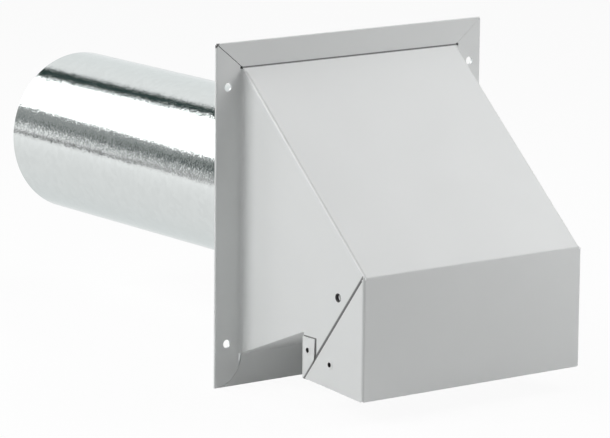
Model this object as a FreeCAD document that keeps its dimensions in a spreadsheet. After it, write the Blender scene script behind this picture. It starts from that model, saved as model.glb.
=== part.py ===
# A dryer vent cap: a folded sheet hood on a hemmed wall flange, with a tail pipe behind it and a
# spring closed backdraft damper inside.
# Millimetres. X is to the right seen from outside the house, Y runs into the wall, Z is up.
# The origin is on the duct's axis, in the plane where the flange meets the wall.

import FreeCAD, Part
import math
import os
import re
import Sketcher

doc = FreeCAD.newDocument("DryerVentCap")
sizes = doc.addObject("Spreadsheet::Sheet", "Sizes")

# Driving sizes. A depth is measured outward from the flange's visible face, a height from the duct's axis.
SIZES = {
    # Sheet metal
    "sheet": 0.55,            # painted sheet of the hood and the pan
    "plate_sheet": 0.55,      # galvanized wall plate
    "ply_gap": 0.05,          # play between plies that lie on each other
    "fold_radius": 1.6,       # outside radius of the hood's folds
    "flange_bend": 1.8,       # visible hollow radius where the flange turns into the hood
    "tight_fold": 0.5,        # inside radius of the pan's folds
    # Flange
    "flange_width": 195.9,
    "flange_height": 203.9,
    "side_strip": 18.85,      # from the flange's side edge to the hood
    "top_strip": 15.25,       # from its top edge to the slope
    "bottom_strip": 19.05,    # from its bottom edge to the floor
    "hem_return": 9.0,        # how far the hem reaches back over the wall plate
    "left_mitre": 0.6,        # open width of the mitre seam at the upper left corner
    "right_mitre": 0.15,      # the same at the upper right, which lies tighter
    "seam_gap": 0.2,          # between the round ends of the side strips and the bottom strip
    "corner_trim": 3.0,       # the bottom strip stops this far from the flange's corners
    "screw_hole": 5.0,
    "screw_side": 8.45,       # from the flange's side edge to a hole's centre
    "screw_end": 25.95,       # from its top or bottom edge
    # Hood
    "hood_depth": 118.1,
    "front_drop": 6.3,        # from the floor's root down to the front panel's lower edge
    "front_height": 71.6,
    "front_hem": 7.0,
    "flap_nose": 1.8,         # from the front's face to the flap's cut off tip
    "flap_start": 3.9,        # from the step wall out to the flap's rear corner
    "flap_lift": 0.5,         # from the step's lower edge up to that corner
    "side_lift": 0.9,         # the sides end this much above the flaps' lower edges
    # Pan
    "mouth_depth": 57.9,      # from the step wall to the front
    "step_height": 24.1,      # how far the floor climbs from the flange to the step
    "step_drop": 2.9,         # from the floor's root down to the step's lower edge
    "tab_drop": 2.2,          # from the step's fold down to the tab's top
    "tab_length": 12.1,       # from the step wall to the tab's front edge, at its top
    "tab_length_low": 10.7,   # and at its bottom
    # Duct pipe
    "duct_diameter": 101.6,
    "duct_wall": 0.45,
    "duct_reach": 287.0,      # how far the pipe's end lies behind the wall face
    "bead_radius": 2.0,
    "flare": 4.0,             # width of the rim turned out in front of the wall plate
    "lock_width": 5.0,        # the pipe's lock seam
    "lock_height": 0.14,      # it stands out so little that a duct still slides over it
    # Rivets through the sides
    "rivet_shank": 4.0,
    "rivet_head": 6.4,
    "rivet_dome": 0.55,
    "rivet_core": 2.9,        # hole left by the mandrel
    "rivet_core_depth": 2.0,
    "rivet_tail": 5.4,
    "rivet_tail_length": 2.2,
    "rivet_play": 0.05,
    "tab_rivet_out": 5.8,     # from the step wall
    "tab_rivet_up": 17.4,     # from the step's lower edge
    "flap_rivet_back": 30.5,  # from the front
    "flap_rivet_up": 16.4,    # from the front panel's lower edge
    # Damper
    "pivot_back": 25.0,       # from the front
    "pivot_up": 49.9,         # from the floor's root
    "rod_diameter": 4.0,
    "rod_recess": 1.6,        # the rod ends this far inside the hood's outer faces
    "bush_play": 0.08,
    "bush_barrel": 5.2,
    "bush_flange": 10.0,
    "bush_flange_thick": 1.0,
    "bush_collar": 7.2,
    "bush_inside": 2.15,      # length of the bush inside the hood
    "bush_fit": 0.03,
    "damper_sheet": 0.5,
    "damper_play": 0.75,      # between the damper plate's edge and a bush
    "damper_lip": 10.0,
    "lip_up": 11.8,           # from the step's lower edge to the lip's fold when the damper is shut
    "wing_clear": 1.0,        # between the upper wing's swing and the slope
    "seal_thick": 3.0,        # lower foam strip
    "seal_tall": 10.5,
    "seal_play": 0.2,         # between the shut damper and the foam
    "seal_inset": 0.5,        # between a foam strip's ends and the hood's sides
    "stop_thick": 6.0,        # upper foam strip, square
    # Rod clips
    "clip_sheet": 0.8,
    "clip_width": 12.0,
    "clip_foot": 8.0,
    "clip_spread": 45.0,
    "clip_rivet_shank": 2.4,
    "clip_rivet_head": 4.8,
    "clip_rivet_dome": 0.9,
    "clip_rivet_tail": 3.6,
    "clip_rivet_tail_length": 1.2,
    # Spring
    "wire": 1.0,
    "wire_flats": 8,
    "coil_play": 0.35,        # between the coil and the rod
    "coil_turns": 6.0,
    "coil_pitch": 1.15,
    "coil_side": 3.2,         # from the damper plate's end to the coil's outer end
    "notch_side": 2.0,        # room beside the coil in the plate's notch
    "notch_up": 5.0,
    "notch_down": 10.0,
    "leg_length": 26.0,
    # Cutting tools reach this far past what they cut
    "reach": 5.0,
}

# Places that follow from those sizes
PLACES = {
    "hood_width": "(flange_width - 2 * side_strip)",
    "hood_top": "(flange_height / 2 - top_strip)",
    "hood_bottom": "(bottom_strip - flange_height / 2)",
    "screw_across": "(flange_width - 2 * screw_side)",
    "screw_apart": "(flange_height - 2 * screw_end)",
    "front_bottom": "(hood_bottom - front_drop)",
    "front_top": "(front_bottom + front_height)",
    "step_depth": "(hood_depth - mouth_depth)",
    "step_top": "(hood_bottom + step_height)",
    "step_bottom": "(hood_bottom - step_drop)",
    "flap_back": "(step_depth + flap_start)",
    "flap_low": "(step_bottom + flap_lift)",
    "tab_top": "(step_top - tab_drop)",
    "tab_reach": "(step_depth + tab_length)",
    "tab_reach_low": "(step_depth + tab_length_low)",
    "tab_rivet_depth": "(step_depth + tab_rivet_out)",
    "tab_rivet_height": "(step_bottom + tab_rivet_up)",
    "flap_rivet_depth": "(hood_depth - flap_rivet_back)",
    "flap_rivet_height": "(front_bottom + flap_rivet_up)",
    "pivot_depth": "(hood_depth - pivot_back)",
    "pivot_height": "(hood_bottom + pivot_up)",
    "lip_height": "(step_bottom + lip_up)",
}

for row, (alias, amount) in enumerate(SIZES.items(), start=1):
    cell = "A%d" % row
    sizes.set(cell, str(amount))
    sizes.setAlias(cell, alias)
doc.recompute()


def bound(text):
    """The expression with its places written out and each size named as a cell of the sheet."""
    def cell(match):
        word = match.group(0)
        if word in PLACES:
            return bound(PLACES[word])
        return "Sizes." + word if word in SIZES else word

    return re.sub(r"[a-z_]+", cell, text)


def number(text):
    """What an expression comes to now, in millimetres or degrees."""
    found = sizes.evalExpression(bound(text))
    return float(getattr(found, "Value", found))


# Worked out sizes, as expressions of the sheet's cells
FACE = "(2 * sheet + plate_sheet + 2 * ply_gap)"
HEM = "((2 * sheet + plate_sheet + 2 * ply_gap) / 2)"
HALF = "(hood_width / 2)"
FLAP_FACE = "(hood_width / 2 + 2 * sheet + 2 * ply_gap)"
STRIP = "(flange_width / 2 - hood_width / 2)"
RISE = "(hood_top - front_top)"
SLOPE = "(hypot(hood_depth; hood_top - front_top))"
FLOOR_RISE = "(step_top - hood_bottom)"
FLOOR = "(hypot(step_depth; step_top - hood_bottom))"
ROD = "(rod_diameter / 2)"
# Half width of the damper plate, which turns between the bushes
WING_HALF = "(hood_width / 2 - sheet - bush_inside - damper_play)"
# The shut damper: its lip stands upright against the lower foam strip, and its back face passes the pivot
# at this distance, so the angle of the plate from upright follows.
SEAT = "(pivot_depth - step_depth - sheet - seal_thick - seal_play)"
DROP = "(pivot_height - lip_height)"
BACK = "(rod_diameter / 2 + damper_sheet)"
SHUT = "(atan2(%s; %s) - asin(%s / hypot(%s; %s)))" % (SEAT, DROP, BACK, SEAT, DROP)
WING = "(sqrt(%s ^ 2 + %s ^ 2 - %s ^ 2))" % (SEAT, DROP, BACK)
# Distance of the pivot from the slope's underside
HEADROOM = "((hood_depth * (hood_top - pivot_height) - %s * pivot_depth) / %s - sheet)" % (RISE, SLOPE)
UPPER_WING = "(sqrt((%s - wing_clear) ^ 2 - %s ^ 2))" % (HEADROOM, BACK)


def out(depth):
    """Y of a point this far out from the flange's face."""
    return "-(%s + %s)" % (FACE, depth)


def top_line(depth):
    """Height of the slope's outer face."""
    return "(hood_top - %s * (%s) / hood_depth)" % (RISE, depth)


def under_line(depth):
    """Height of the slope's underside."""
    return "(hood_top - (%s * (%s) + sheet * %s) / hood_depth)" % (RISE, depth, SLOPE)


def floor_line(depth):
    """Height of the sloped floor's underside."""
    return "(hood_bottom + %s * (%s) / step_depth)" % (FLOOR_RISE, depth)


def seam_line(depth):
    """Height of the flap's diagonal edge."""
    return "(front_top + (flap_low - front_top) * (hood_depth - (%s)) / (hood_depth - flap_back))" % depth


def low_line(depth):
    """Height of the flap's lower edge."""
    return "(flap_low + (front_bottom - flap_low) * ((%s) - flap_back) / (hood_depth - flap_back))" % depth


def new_body(label):
    body = doc.addObject("PartDesign::Body", label)
    body.Label = label
    body.AllowCompound = True
    return body


def new_sketch(body, name, plane, offset="0"):
    """A sketch on one of the body's origin planes, moved along the plane's normal."""
    sketch = body.newObject("Sketcher::SketchObject", body.Name + "_" + name + "_sketch")
    origin_plane = [f for f in body.Origin.OriginFeatures if f.Role == plane][0]
    sketch.AttachmentSupport = [(origin_plane, "")]
    sketch.MapMode = "FlatFace"
    sketch.setExpression("AttachmentOffset.Base.z", bound(offset))
    return sketch


def fix_point(sketch, edge, end, u, v):
    """Hold one end of an edge, or a circle's centre, at expressions for its two coordinates."""
    for kind, text in (("DistanceX", u), ("DistanceY", v)):
        place = sketch.addConstraint(Sketcher.Constraint(kind, -1, 1, edge, end, number(text)))
        sketch.setExpression("Constraints[%d]" % place, bound(text))


def draw(sketch, corners):
    """A closed outline. A corner is (u, v), or (u, v, turn, centre u, centre v) where an arc leaves it."""
    first = sketch.GeometryCount
    count = len(corners)
    spots = [FreeCAD.Vector(number(c[0]), number(c[1]), 0) for c in corners]
    ends = []
    for i, corner in enumerate(corners):
        start = spots[i]
        stop = spots[(i + 1) % count]
        if len(corner) == 2:
            sketch.addGeometry(Part.LineSegment(start, stop))
            ends.append((1, 2))
            continue
        turn, centre_u, centre_v = corner[2:]
        centre = FreeCAD.Vector(number(centre_u), number(centre_v), 0)
        circle = Part.Circle(centre, FreeCAD.Vector(0, 0, 1), (start - centre).Length)
        low, high = (start, stop) if turn == "left" else (stop, start)
        arc = Part.ArcOfCircle(circle, circle.parameter(low), circle.parameter(high))
        sketch.addGeometry(arc)
        ends.append((1, 2) if turn == "left" else (2, 1))
    for i in range(count):
        j = (i + 1) % count
        joined = Sketcher.Constraint("Coincident", first + i, ends[i][1], first + j, ends[j][0])
        sketch.addConstraint(joined)
    for i, corner in enumerate(corners):
        fix_point(sketch, first + i, ends[i][0], corner[0], corner[1])
        if len(corner) > 2:
            chord = spots[(i + 1) % count] - spots[i]
            if abs(chord.x) > abs(chord.y):
                kind, text = "DistanceY", corner[4]
            else:
                kind, text = "DistanceX", corner[3]
            place = sketch.addConstraint(Sketcher.Constraint(kind, -1, 1, first + i, 3, number(text)))
            sketch.setExpression("Constraints[%d]" % place, bound(text))


def draw_pair(sketch, corners):
    """The outline and its mirror image in the sketch's upright axis."""
    draw(sketch, corners)
    other = {"left": "right", "right": "left"}
    mirrored = []
    for corner in corners:
        flipped = ["-(%s)" % corner[0], corner[1]]
        if len(corner) > 2:
            flipped += [other[corner[2]], "-(%s)" % corner[3], corner[4]]
        mirrored.append(tuple(flipped))
    draw(sketch, mirrored)


def draw_circle(sketch, u, v, radius):
    spot = FreeCAD.Vector(number(u), number(v), 0)
    edge = sketch.addGeometry(Part.Circle(spot, FreeCAD.Vector(0, 0, 1), number(radius)))
    fix_point(sketch, edge, 3, u, v)
    place = sketch.addConstraint(Sketcher.Constraint("Radius", edge, number(radius)))
    sketch.setExpression("Constraints[%d]" % place, bound(radius))


def side_view(corners):
    """Corners given as depth and height, turned into the side plane's own coordinates."""
    turned = []
    for corner in corners:
        placed = [out(corner[0]), corner[1]]
        if len(corner) > 2:
            placed += [corner[2], out(corner[3]), corner[4]]
        turned.append(tuple(placed))
    return turned


def feature(body, kind, name, sketch, length, both_ways=False):
    """A pad along the sketch's normal, or a pocket against it."""
    made = body.newObject("PartDesign::" + kind, body.Name + "_" + name)
    made.Profile = sketch
    made.setExpression("Length", bound(length))
    if both_ways:
        made.SideType = "Symmetric"
    doc.recompute()
    return made


def across(body, kind, name, corners, width):
    """A pad or pocket of a side outline, given as depth and height, over a width centred on the hood."""
    sketch = new_sketch(body, name, "YZ_Plane")
    draw(sketch, side_view(corners))
    return feature(body, kind, name, sketch, width, both_ways=True)


def side_holes(body, name, spots, width):
    """Round holes through the sides, each given as depth, height and diameter."""
    sketch = new_sketch(body, name, "YZ_Plane")
    for depth, height, diameter in spots:
        draw_circle(sketch, out(depth), height, "(%s) / 2" % diameter)
    return feature(body, "Pocket", name, sketch, width, both_ways=True)


def spin(body, name, sketch, axis):
    made = body.newObject("PartDesign::Revolution", body.Name + "_" + name)
    made.Profile = sketch
    made.ReferenceAxis = (sketch, [axis])
    made.Angle = 360
    doc.recompute()
    return made


def round_edges(body, name, base, radius, chosen):
    """A fillet on the last feature's edges that run in a side plane and whose two ends satisfy a test."""
    names = []
    for place, edge in enumerate(base.Shape.Edges, start=1):
        points = [v.Point for v in edge.Vertexes]
        if len(points) == 2 and all(chosen(p) for p in points) and abs(points[0].x - points[1].x) < 0.01:
            names.append("Edge%d" % place)
    made = body.newObject("PartDesign::Fillet", body.Name + "_" + name)
    made.Base = (base, names)
    made.setExpression("Radius", bound(radius))
    doc.recompute()
    return made


def place_at(body, x, y, z, angle=None):
    """Bind a body's placement, with an optional turn about X in degrees."""
    if angle is not None:
        body.Placement = FreeCAD.Placement(FreeCAD.Vector(), FreeCAD.Rotation(FreeCAD.Vector(1, 0, 0), 10))
        body.setExpression("Placement.Rotation.Angle", bound(angle))
    body.setExpression("Placement.Base.x", bound(x))
    body.setExpression("Placement.Base.y", bound(y))
    body.setExpression("Placement.Base.z", bound(z))


def on_pivot(body, x="0"):
    """Put a piece of the damper, drawn with its plate upright, where it hangs when shut."""
    place_at(body, x, out("pivot_depth"), "pivot_height", SHUT)


# The hood


def hood_shell():
    """One folded sheet: slope, sides, front with its flaps, and the hemmed flange on three sides."""
    body = new_body("hood_shell")

    # Flaps: a triangle against each side, from the front fold back to the pan's tab
    flap_tip = seam_line("hood_depth - flap_nose")
    fold_line = "hood_depth - fold_radius"
    flap = [
        (fold_line, flap_tip),
        ("hood_depth - flap_nose", flap_tip),
        ("flap_back", "flap_low"),
        (fold_line, low_line(fold_line)),
    ]
    across(body, "Pad", "flaps", flap, "2 * %s" % FLAP_FACE)
    between = [
        ("hood_depth + reach", "front_top + reach"),
        ("flap_back - reach", "front_top + reach"),
        ("flap_back - reach", "front_bottom - reach"),
        ("hood_depth + reach", "front_bottom - reach"),
    ]
    across(body, "Pocket", "between_flaps", between, "2 * (%s - sheet)" % FLAP_FACE)

    # Slope and sides: a solid block hollowed from below
    slope_turn = "fold_radius * hood_depth / (%s + %s)" % (SLOPE, RISE)
    slope_end = "hood_depth - (%s) * hood_depth / %s" % (slope_turn, SLOPE)
    side_edge = "step_depth + sheet + tight_fold"
    block = [
        ("flange_bend", top_line("flange_bend")),
        (slope_end, top_line(slope_end)),
        (slope_end, "%s + side_lift" % low_line(slope_end)),
        (side_edge, "%s + side_lift" % low_line(side_edge)),
        (side_edge, floor_line(side_edge)),
        ("flange_bend", floor_line("flange_bend")),
    ]
    across(body, "Pad", "block", block, "hood_width")
    hollow = [
        ("flange_bend - reach", under_line("flange_bend - reach")),
        ("hood_depth + reach", under_line("hood_depth + reach")),
        ("hood_depth + reach", "front_bottom - reach"),
        ("flange_bend - reach", "front_bottom - reach"),
    ]
    channel = across(body, "Pocket", "hollow", hollow, "hood_width - 2 * sheet")

    def on_slope(inset, line):
        half = number("%s - %s" % (HALF, inset))

        def chosen(point):
            depth = -point.y - number(FACE)
            return abs(abs(point.x) - half) < 0.01 and abs(point.z - number(line(repr(depth)))) < 0.01

        return chosen

    channel = round_edges(body, "outer_folds", channel, "fold_radius", on_slope("0", top_line))
    round_edges(body, "inner_folds", channel, "fold_radius - sheet", on_slope("sheet", under_line))
    relief = [
        (fold_line, under_line(fold_line)),
        ("hood_depth + reach", under_line("hood_depth + reach")),
        ("hood_depth + reach", "front_bottom - reach"),
        (fold_line, "front_bottom - reach"),
    ]
    across(body, "Pocket", "side_relief", relief, "hood_width")

    # Front panel with a closed hem below and the fold into the slope above
    front = [
        ("hood_depth - 2 * sheet", "front_bottom + sheet", "right",
         "hood_depth - sheet", "front_bottom + sheet"),
        ("hood_depth", "front_bottom + sheet"),
        ("hood_depth", "front_top - %s" % slope_turn, "right", fold_line, "front_top - %s" % slope_turn),
        (slope_end, top_line(slope_end)),
        (
            "%s - sheet * %s / %s" % (slope_end, RISE, SLOPE),
            "%s - sheet * hood_depth / %s" % (top_line(slope_end), SLOPE),
            "left",
            fold_line,
            "front_top - %s" % slope_turn,
        ),
        ("hood_depth - sheet", "front_top - %s" % slope_turn),
        ("hood_depth - sheet", "front_bottom + front_hem"),
        ("hood_depth - 2 * sheet", "front_bottom + front_hem"),
    ]
    across(body, "Pad", "front", front, "2 * (%s - fold_radius)" % FLAP_FACE)

    # Upright folds between the front and its flaps
    sketch = new_sketch(body, "front_folds", "XY_Plane", "front_bottom + sheet")
    corner_x = "-(%s - fold_radius)" % FLAP_FACE
    corner_y = out(fold_line)
    draw_pair(sketch, [
        (corner_x, out("hood_depth"), "right", corner_x, corner_y),
        ("-%s" % FLAP_FACE, corner_y),
        ("-(%s - sheet)" % FLAP_FACE, corner_y, "left", corner_x, corner_y),
        (corner_x, out("hood_depth - sheet")),
    ])
    feature(body, "Pad", "front_folds", sketch, "front_height - %s - sheet" % slope_turn)

    # Side strips of the flange, with the hem that grips the wall plate
    sketch = new_sketch(body, "side_strips", "XY_Plane", "-flange_height / 2")
    strip_root = "-(%s + flange_bend)" % HALF
    hem_x = "-(flange_width / 2 - %s)" % HEM
    hem_y = "-%s" % HEM
    draw_pair(sketch, [
        (strip_root, out("0")),
        (hem_x, out("0"), "right", hem_x, hem_y),
        (hem_x, "0"),
        ("-(flange_width / 2 - hem_return)", "0"),
        ("-(flange_width / 2 - hem_return)", "-sheet"),
        (hem_x, "-sheet", "left", hem_x, hem_y),
        (hem_x, out("-sheet")),
        (strip_root, out("-sheet")),
    ])
    feature(body, "Pad", "side_strips", sketch, "flange_height - %s" % HEM)

    # The side strips end below in a quarter round
    sketch = new_sketch(body, "strip_ends", "XZ_Plane", "%s + reach" % FACE)
    draw_pair(sketch, [
        ("-flange_width / 2 - reach", "hood_bottom - %s" % STRIP),
        ("-flange_width / 2", "hood_bottom - %s" % STRIP, "left", "-flange_width / 2", "hood_bottom"),
        ("-%s" % HALF, "hood_bottom"),
        ("-%s + reach" % HALF, "hood_bottom"),
        ("-%s + reach" % HALF, "-flange_height / 2 - reach"),
        ("-flange_width / 2 - reach", "-flange_height / 2 - reach"),
    ])
    feature(body, "Pocket", "strip_ends", sketch, "%s + 2 * reach" % FACE)

    # Folds between the side strips and the sides
    sketch = new_sketch(body, "side_folds", "XY_Plane", "hood_bottom")
    draw_pair(sketch, [
        (strip_root, out("0"), "right", strip_root, out("flange_bend")),
        ("-%s" % HALF, out("flange_bend")),
        ("-(%s - sheet)" % HALF, out("flange_bend"), "left", strip_root, out("flange_bend")),
        (strip_root, out("-sheet")),
    ])
    feature(body, "Pad", "side_folds", sketch, "%s - hood_bottom" % top_line("flange_bend / 2"))

    # Top strip with its hem
    top_turn = "flange_bend * hood_depth / (%s + %s)" % (SLOPE, RISE)
    hem_z = "flange_height / 2 - %s" % HEM
    sketch = new_sketch(body, "top_strip", "YZ_Plane")
    draw(sketch, [
        (out("0"), "hood_top + %s" % top_turn),
        (out("0"), hem_z, "right", hem_y, hem_z),
        ("0", hem_z),
        ("0", "flange_height / 2 - hem_return"),
        ("-sheet", "flange_height / 2 - hem_return"),
        ("-sheet", hem_z, "left", hem_y, hem_z),
        (out("-sheet"), hem_z),
        (out("-sheet"), "hood_top + %s" % top_turn),
    ])
    feature(body, "Pad", "top_strip", sketch, "flange_width - 2 * %s" % HEM, both_ways=True)

    # Fold between the top strip and the slope
    turn_end = "(%s) * hood_depth / %s" % (top_turn, SLOPE)
    top_fold = [
        ("0", "hood_top + %s" % top_turn, "right", "flange_bend", "hood_top + %s" % top_turn),
        (turn_end, top_line(turn_end)),
        ("flange_bend", top_line("flange_bend")),
        ("flange_bend", under_line("flange_bend")),
        (
            "%s - sheet * %s / %s" % (turn_end, RISE, SLOPE),
            "%s - sheet * hood_depth / %s" % (top_line(turn_end), SLOPE),
            "left",
            "flange_bend",
            "hood_top + %s" % top_turn,
        ),
        ("-sheet", "hood_top + %s" % top_turn),
    ]
    across(body, "Pad", "top_fold", top_fold, "hood_width")

    # Mitre seams from the flange's upper corners to the hood's
    sketch = new_sketch(body, "mitres", "XZ_Plane", "%s + ply_gap" % FACE)
    for side, gap in (("-", "left_mitre"), ("", "right_mitre")):
        draw(sketch, [
            ("%s%s" % (side, HALF), "hood_top - %s / 2" % gap),
            ("%s(flange_width / 2)" % side, "flange_height / 2 - %s / 2" % gap),
            ("%s(flange_width / 2)" % side, "flange_height / 2 + %s / 2" % gap),
            ("%s%s" % (side, HALF), "hood_top + %s / 2" % gap),
        ])
    feature(body, "Pocket", "mitres", sketch, "%s + 2 * ply_gap" % FACE)

    screw_holes(body)
    side_holes(body, "side_holes", [
        ("pivot_depth", "pivot_height", "(bush_barrel + 2 * bush_fit)"),
        ("tab_rivet_depth", "tab_rivet_height", "(rivet_shank + 2 * rivet_play)"),
        ("flap_rivet_depth", "flap_rivet_height", "(rivet_shank + 2 * rivet_play)"),
    ], "2 * (%s + reach)" % FLAP_FACE)
    return body


def screw_holes(body):
    """The four mounting holes, through every ply of the flange."""
    sketch = new_sketch(body, "screw_holes", "XZ_Plane", "%s + ply_gap" % FACE)
    for side in ("-", ""):
        for end in ("-", ""):
            draw_circle(sketch, side + "(screw_across / 2)", end + "(screw_apart / 2)", "screw_hole / 2")
    return feature(body, "Pocket", "screw_holes", sketch, "%s + 2 * ply_gap" % FACE)


def bottom_pan():
    """One folded sheet: bottom flange strip, sloped floor, step wall and the tabs round the sides."""
    body = new_body("bottom_pan")
    tab_face = "(%s + ply_gap + sheet)" % HALF
    tab_root = "step_depth + sheet + tight_fold"

    # End tabs, outside the hood's sides
    tab = [
        (tab_root, "tab_top"),
        ("tab_reach", "tab_top"),
        ("tab_reach_low", "step_bottom"),
        (tab_root, "step_bottom"),
    ]
    across(body, "Pad", "tabs", tab, "2 * %s" % tab_face)
    between = [
        (tab_root + " - reach", "tab_top + reach"),
        ("tab_reach + reach", "tab_top + reach"),
        ("tab_reach + reach", "step_bottom - reach"),
        (tab_root + " - reach", "step_bottom - reach"),
    ]
    across(body, "Pocket", "between_tabs", between, "2 * (%s - sheet)" % tab_face)

    # Folds between the step wall and the tabs
    sketch = new_sketch(body, "tab_folds", "XY_Plane", "step_bottom")
    corner_x = "-(%s + ply_gap - tight_fold)" % HALF
    corner_y = out(tab_root)
    draw_pair(sketch, [
        (corner_x, out("step_depth + sheet"), "left", corner_x, corner_y),
        ("-(%s - sheet)" % tab_face, corner_y),
        ("-%s" % tab_face, corner_y, "right", corner_x, corner_y),
        (corner_x, out("step_depth")),
    ])
    feature(body, "Pad", "tab_folds", sketch, "tab_top - step_bottom")

    # Step wall below the tabs' top
    wall = [
        ("step_depth", "step_bottom"),
        ("step_depth", "tab_top"),
        ("step_depth + sheet", "tab_top"),
        ("step_depth + sheet", "step_bottom"),
    ]
    across(body, "Pad", "step_wall", wall, "2 * (%s + ply_gap - tight_fold)" % HALF)

    # Floor between the sides, folded at both ends
    root_turn = "flange_bend * step_depth / (%s + %s)" % (FLOOR, FLOOR_RISE)
    step_turn = "tight_fold * step_depth / (%s - %s)" % (FLOOR, FLOOR_RISE)
    root = "(%s) * step_depth / %s" % (root_turn, FLOOR)
    edge = "step_depth - (%s) * step_depth / %s" % (step_turn, FLOOR)
    lift_back = "sheet * %s / %s" % (FLOOR_RISE, FLOOR)
    lift_up = "sheet * step_depth / %s" % FLOOR
    floor = [
        ("0", "hood_bottom - %s" % root_turn, "left", "flange_bend", "hood_bottom - %s" % root_turn),
        (root, floor_line(root)),
        (edge, floor_line(edge), "left", "step_depth - tight_fold", "step_top - %s" % step_turn),
        ("step_depth", "step_top - %s" % step_turn),
        ("step_depth", "tab_top"),
        ("step_depth + sheet", "tab_top"),
        ("step_depth + sheet", "step_top - %s" % step_turn, "right",
         "step_depth - tight_fold", "step_top - %s" % step_turn),
        ("%s - %s" % (edge, lift_back), "%s + %s" % (floor_line(edge), lift_up)),
        ("%s - %s" % (root, lift_back), "%s + %s" % (floor_line(root), lift_up), "right",
         "flange_bend", "hood_bottom - %s" % root_turn),
        ("-sheet", "hood_bottom - %s" % root_turn),
    ]
    across(body, "Pad", "floor", floor, "2 * (%s - sheet - ply_gap)" % HALF)

    # Bottom strip of the flange, with its hem
    hem_y = "-%s" % HEM
    hem_z = "-(flange_height / 2 - %s)" % HEM
    sketch = new_sketch(body, "bottom_strip", "YZ_Plane")
    draw(sketch, [
        (out("0"), "hood_bottom - %s" % root_turn),
        (out("0"), hem_z, "left", hem_y, hem_z),
        ("0", hem_z),
        ("0", "-(flange_height / 2 - hem_return)"),
        ("-sheet", "-(flange_height / 2 - hem_return)"),
        ("-sheet", hem_z, "right", hem_y, hem_z),
        (out("-sheet"), hem_z),
        (out("-sheet"), "hood_bottom - %s" % root_turn),
    ])
    feature(body, "Pad", "bottom_strip", sketch, "flange_width - 2 * corner_trim", both_ways=True)

    # Room for the round ends of the side strips, and for their hems behind the plate
    sketch = new_sketch(body, "strip_room", "XZ_Plane", "%s + ply_gap" % FACE)
    for side in ("-", ""):
        draw_circle(sketch, side + "(flange_width / 2)", "hood_bottom", "%s + seam_gap" % STRIP)
    feature(body, "Pocket", "strip_room", sketch, "%s + 2 * ply_gap" % FACE)
    sketch = new_sketch(body, "hem_room", "XZ_Plane", "sheet + ply_gap")
    draw_pair(sketch, [
        ("-(flange_width / 2 - hem_return - seam_gap)", "-(flange_height / 2 + reach)"),
        ("-(flange_width / 2 - hem_return - seam_gap)", "-(flange_height / 2 - hem_return - reach)"),
        ("-(flange_width / 2 + reach)", "-(flange_height / 2 - hem_return - reach)"),
        ("-(flange_width / 2 + reach)", "-(flange_height / 2 + reach)"),
    ])
    feature(body, "Pocket", "hem_room", sketch, "sheet + 2 * ply_gap")

    side_holes(body, "rivet_holes", [
        ("tab_rivet_depth", "tab_rivet_height", "(rivet_shank + 2 * rivet_play)"),
    ], "2 * (%s + reach)" % tab_face)
    return body


def wall_plate():
    """Flat sheet gripped by the flange's hem, with the duct's hole and the mounting holes."""
    body = new_body("wall_plate")
    sketch = new_sketch(body, "plate", "XZ_Plane", "sheet + ply_gap")
    half_x = "(flange_width / 2 - %s)" % HEM
    half_z = "(flange_height / 2 - %s)" % HEM
    draw(sketch, [
        ("-" + half_x, "-" + half_z),
        (half_x, "-" + half_z),
        (half_x, half_z),
        ("-" + half_x, half_z),
    ])
    draw_circle(sketch, "0", "0", "duct_diameter / 2 + ply_gap")
    feature(body, "Pad", "plate", sketch, "plate_sheet")
    screw_holes(body)
    return body


def duct_pipe():
    """Tail pipe: a bead behind the wall plate, a rim turned out in front of it and a lock seam."""
    body = new_body("duct_pipe")
    outer = "(duct_diameter / 2)"
    inner = "(duct_diameter / 2 - duct_wall)"
    plate_back = "-(sheet + ply_gap)"
    rim_back = "-(sheet + plate_sheet + 2 * ply_gap)"
    bead_y = "(bead_radius - sheet)"
    bead_core = "(bead_radius - duct_wall)"
    sketch = new_sketch(body, "wall", "YZ_Plane")
    draw(sketch, [
        ("duct_reach", outer),
        ("%s + bead_radius" % bead_y, outer, "left", bead_y, outer),
        ("%s - bead_radius" % bead_y, outer),
        (rim_back, outer),
        (rim_back, "%s + flare" % outer),
        ("%s - duct_wall" % rim_back, "%s + flare" % outer),
        ("%s - duct_wall" % rim_back, inner),
        ("%s - %s" % (bead_y, bead_core), inner),
        ("%s - %s" % (bead_y, bead_core), outer, "right", bead_y, outer),
        ("%s + %s" % (bead_y, bead_core), outer),
        ("%s + %s" % (bead_y, bead_core), inner),
        ("duct_reach", inner),
    ])
    spin(body, "wall", sketch, "H_Axis")

    # Lock seam on the side away from the view
    sketch = new_sketch(body, "lock_seam", "XZ_Plane", "-duct_reach")
    root = "(duct_diameter / 2 - duct_wall / 2)"
    draw(sketch, [
        (root, "-lock_width / 2"),
        ("duct_diameter / 2 + lock_height", "-lock_width / 2 + lock_height / 2"),
        ("duct_diameter / 2 + lock_height", "lock_width / 2 - lock_height / 2"),
        (root, "lock_width / 2"),
    ])
    feature(body, "Pad", "lock_seam", sketch, "duct_reach - %s - 2 * bead_radius" % bead_y)
    return body


# Rivets through the sides


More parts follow.
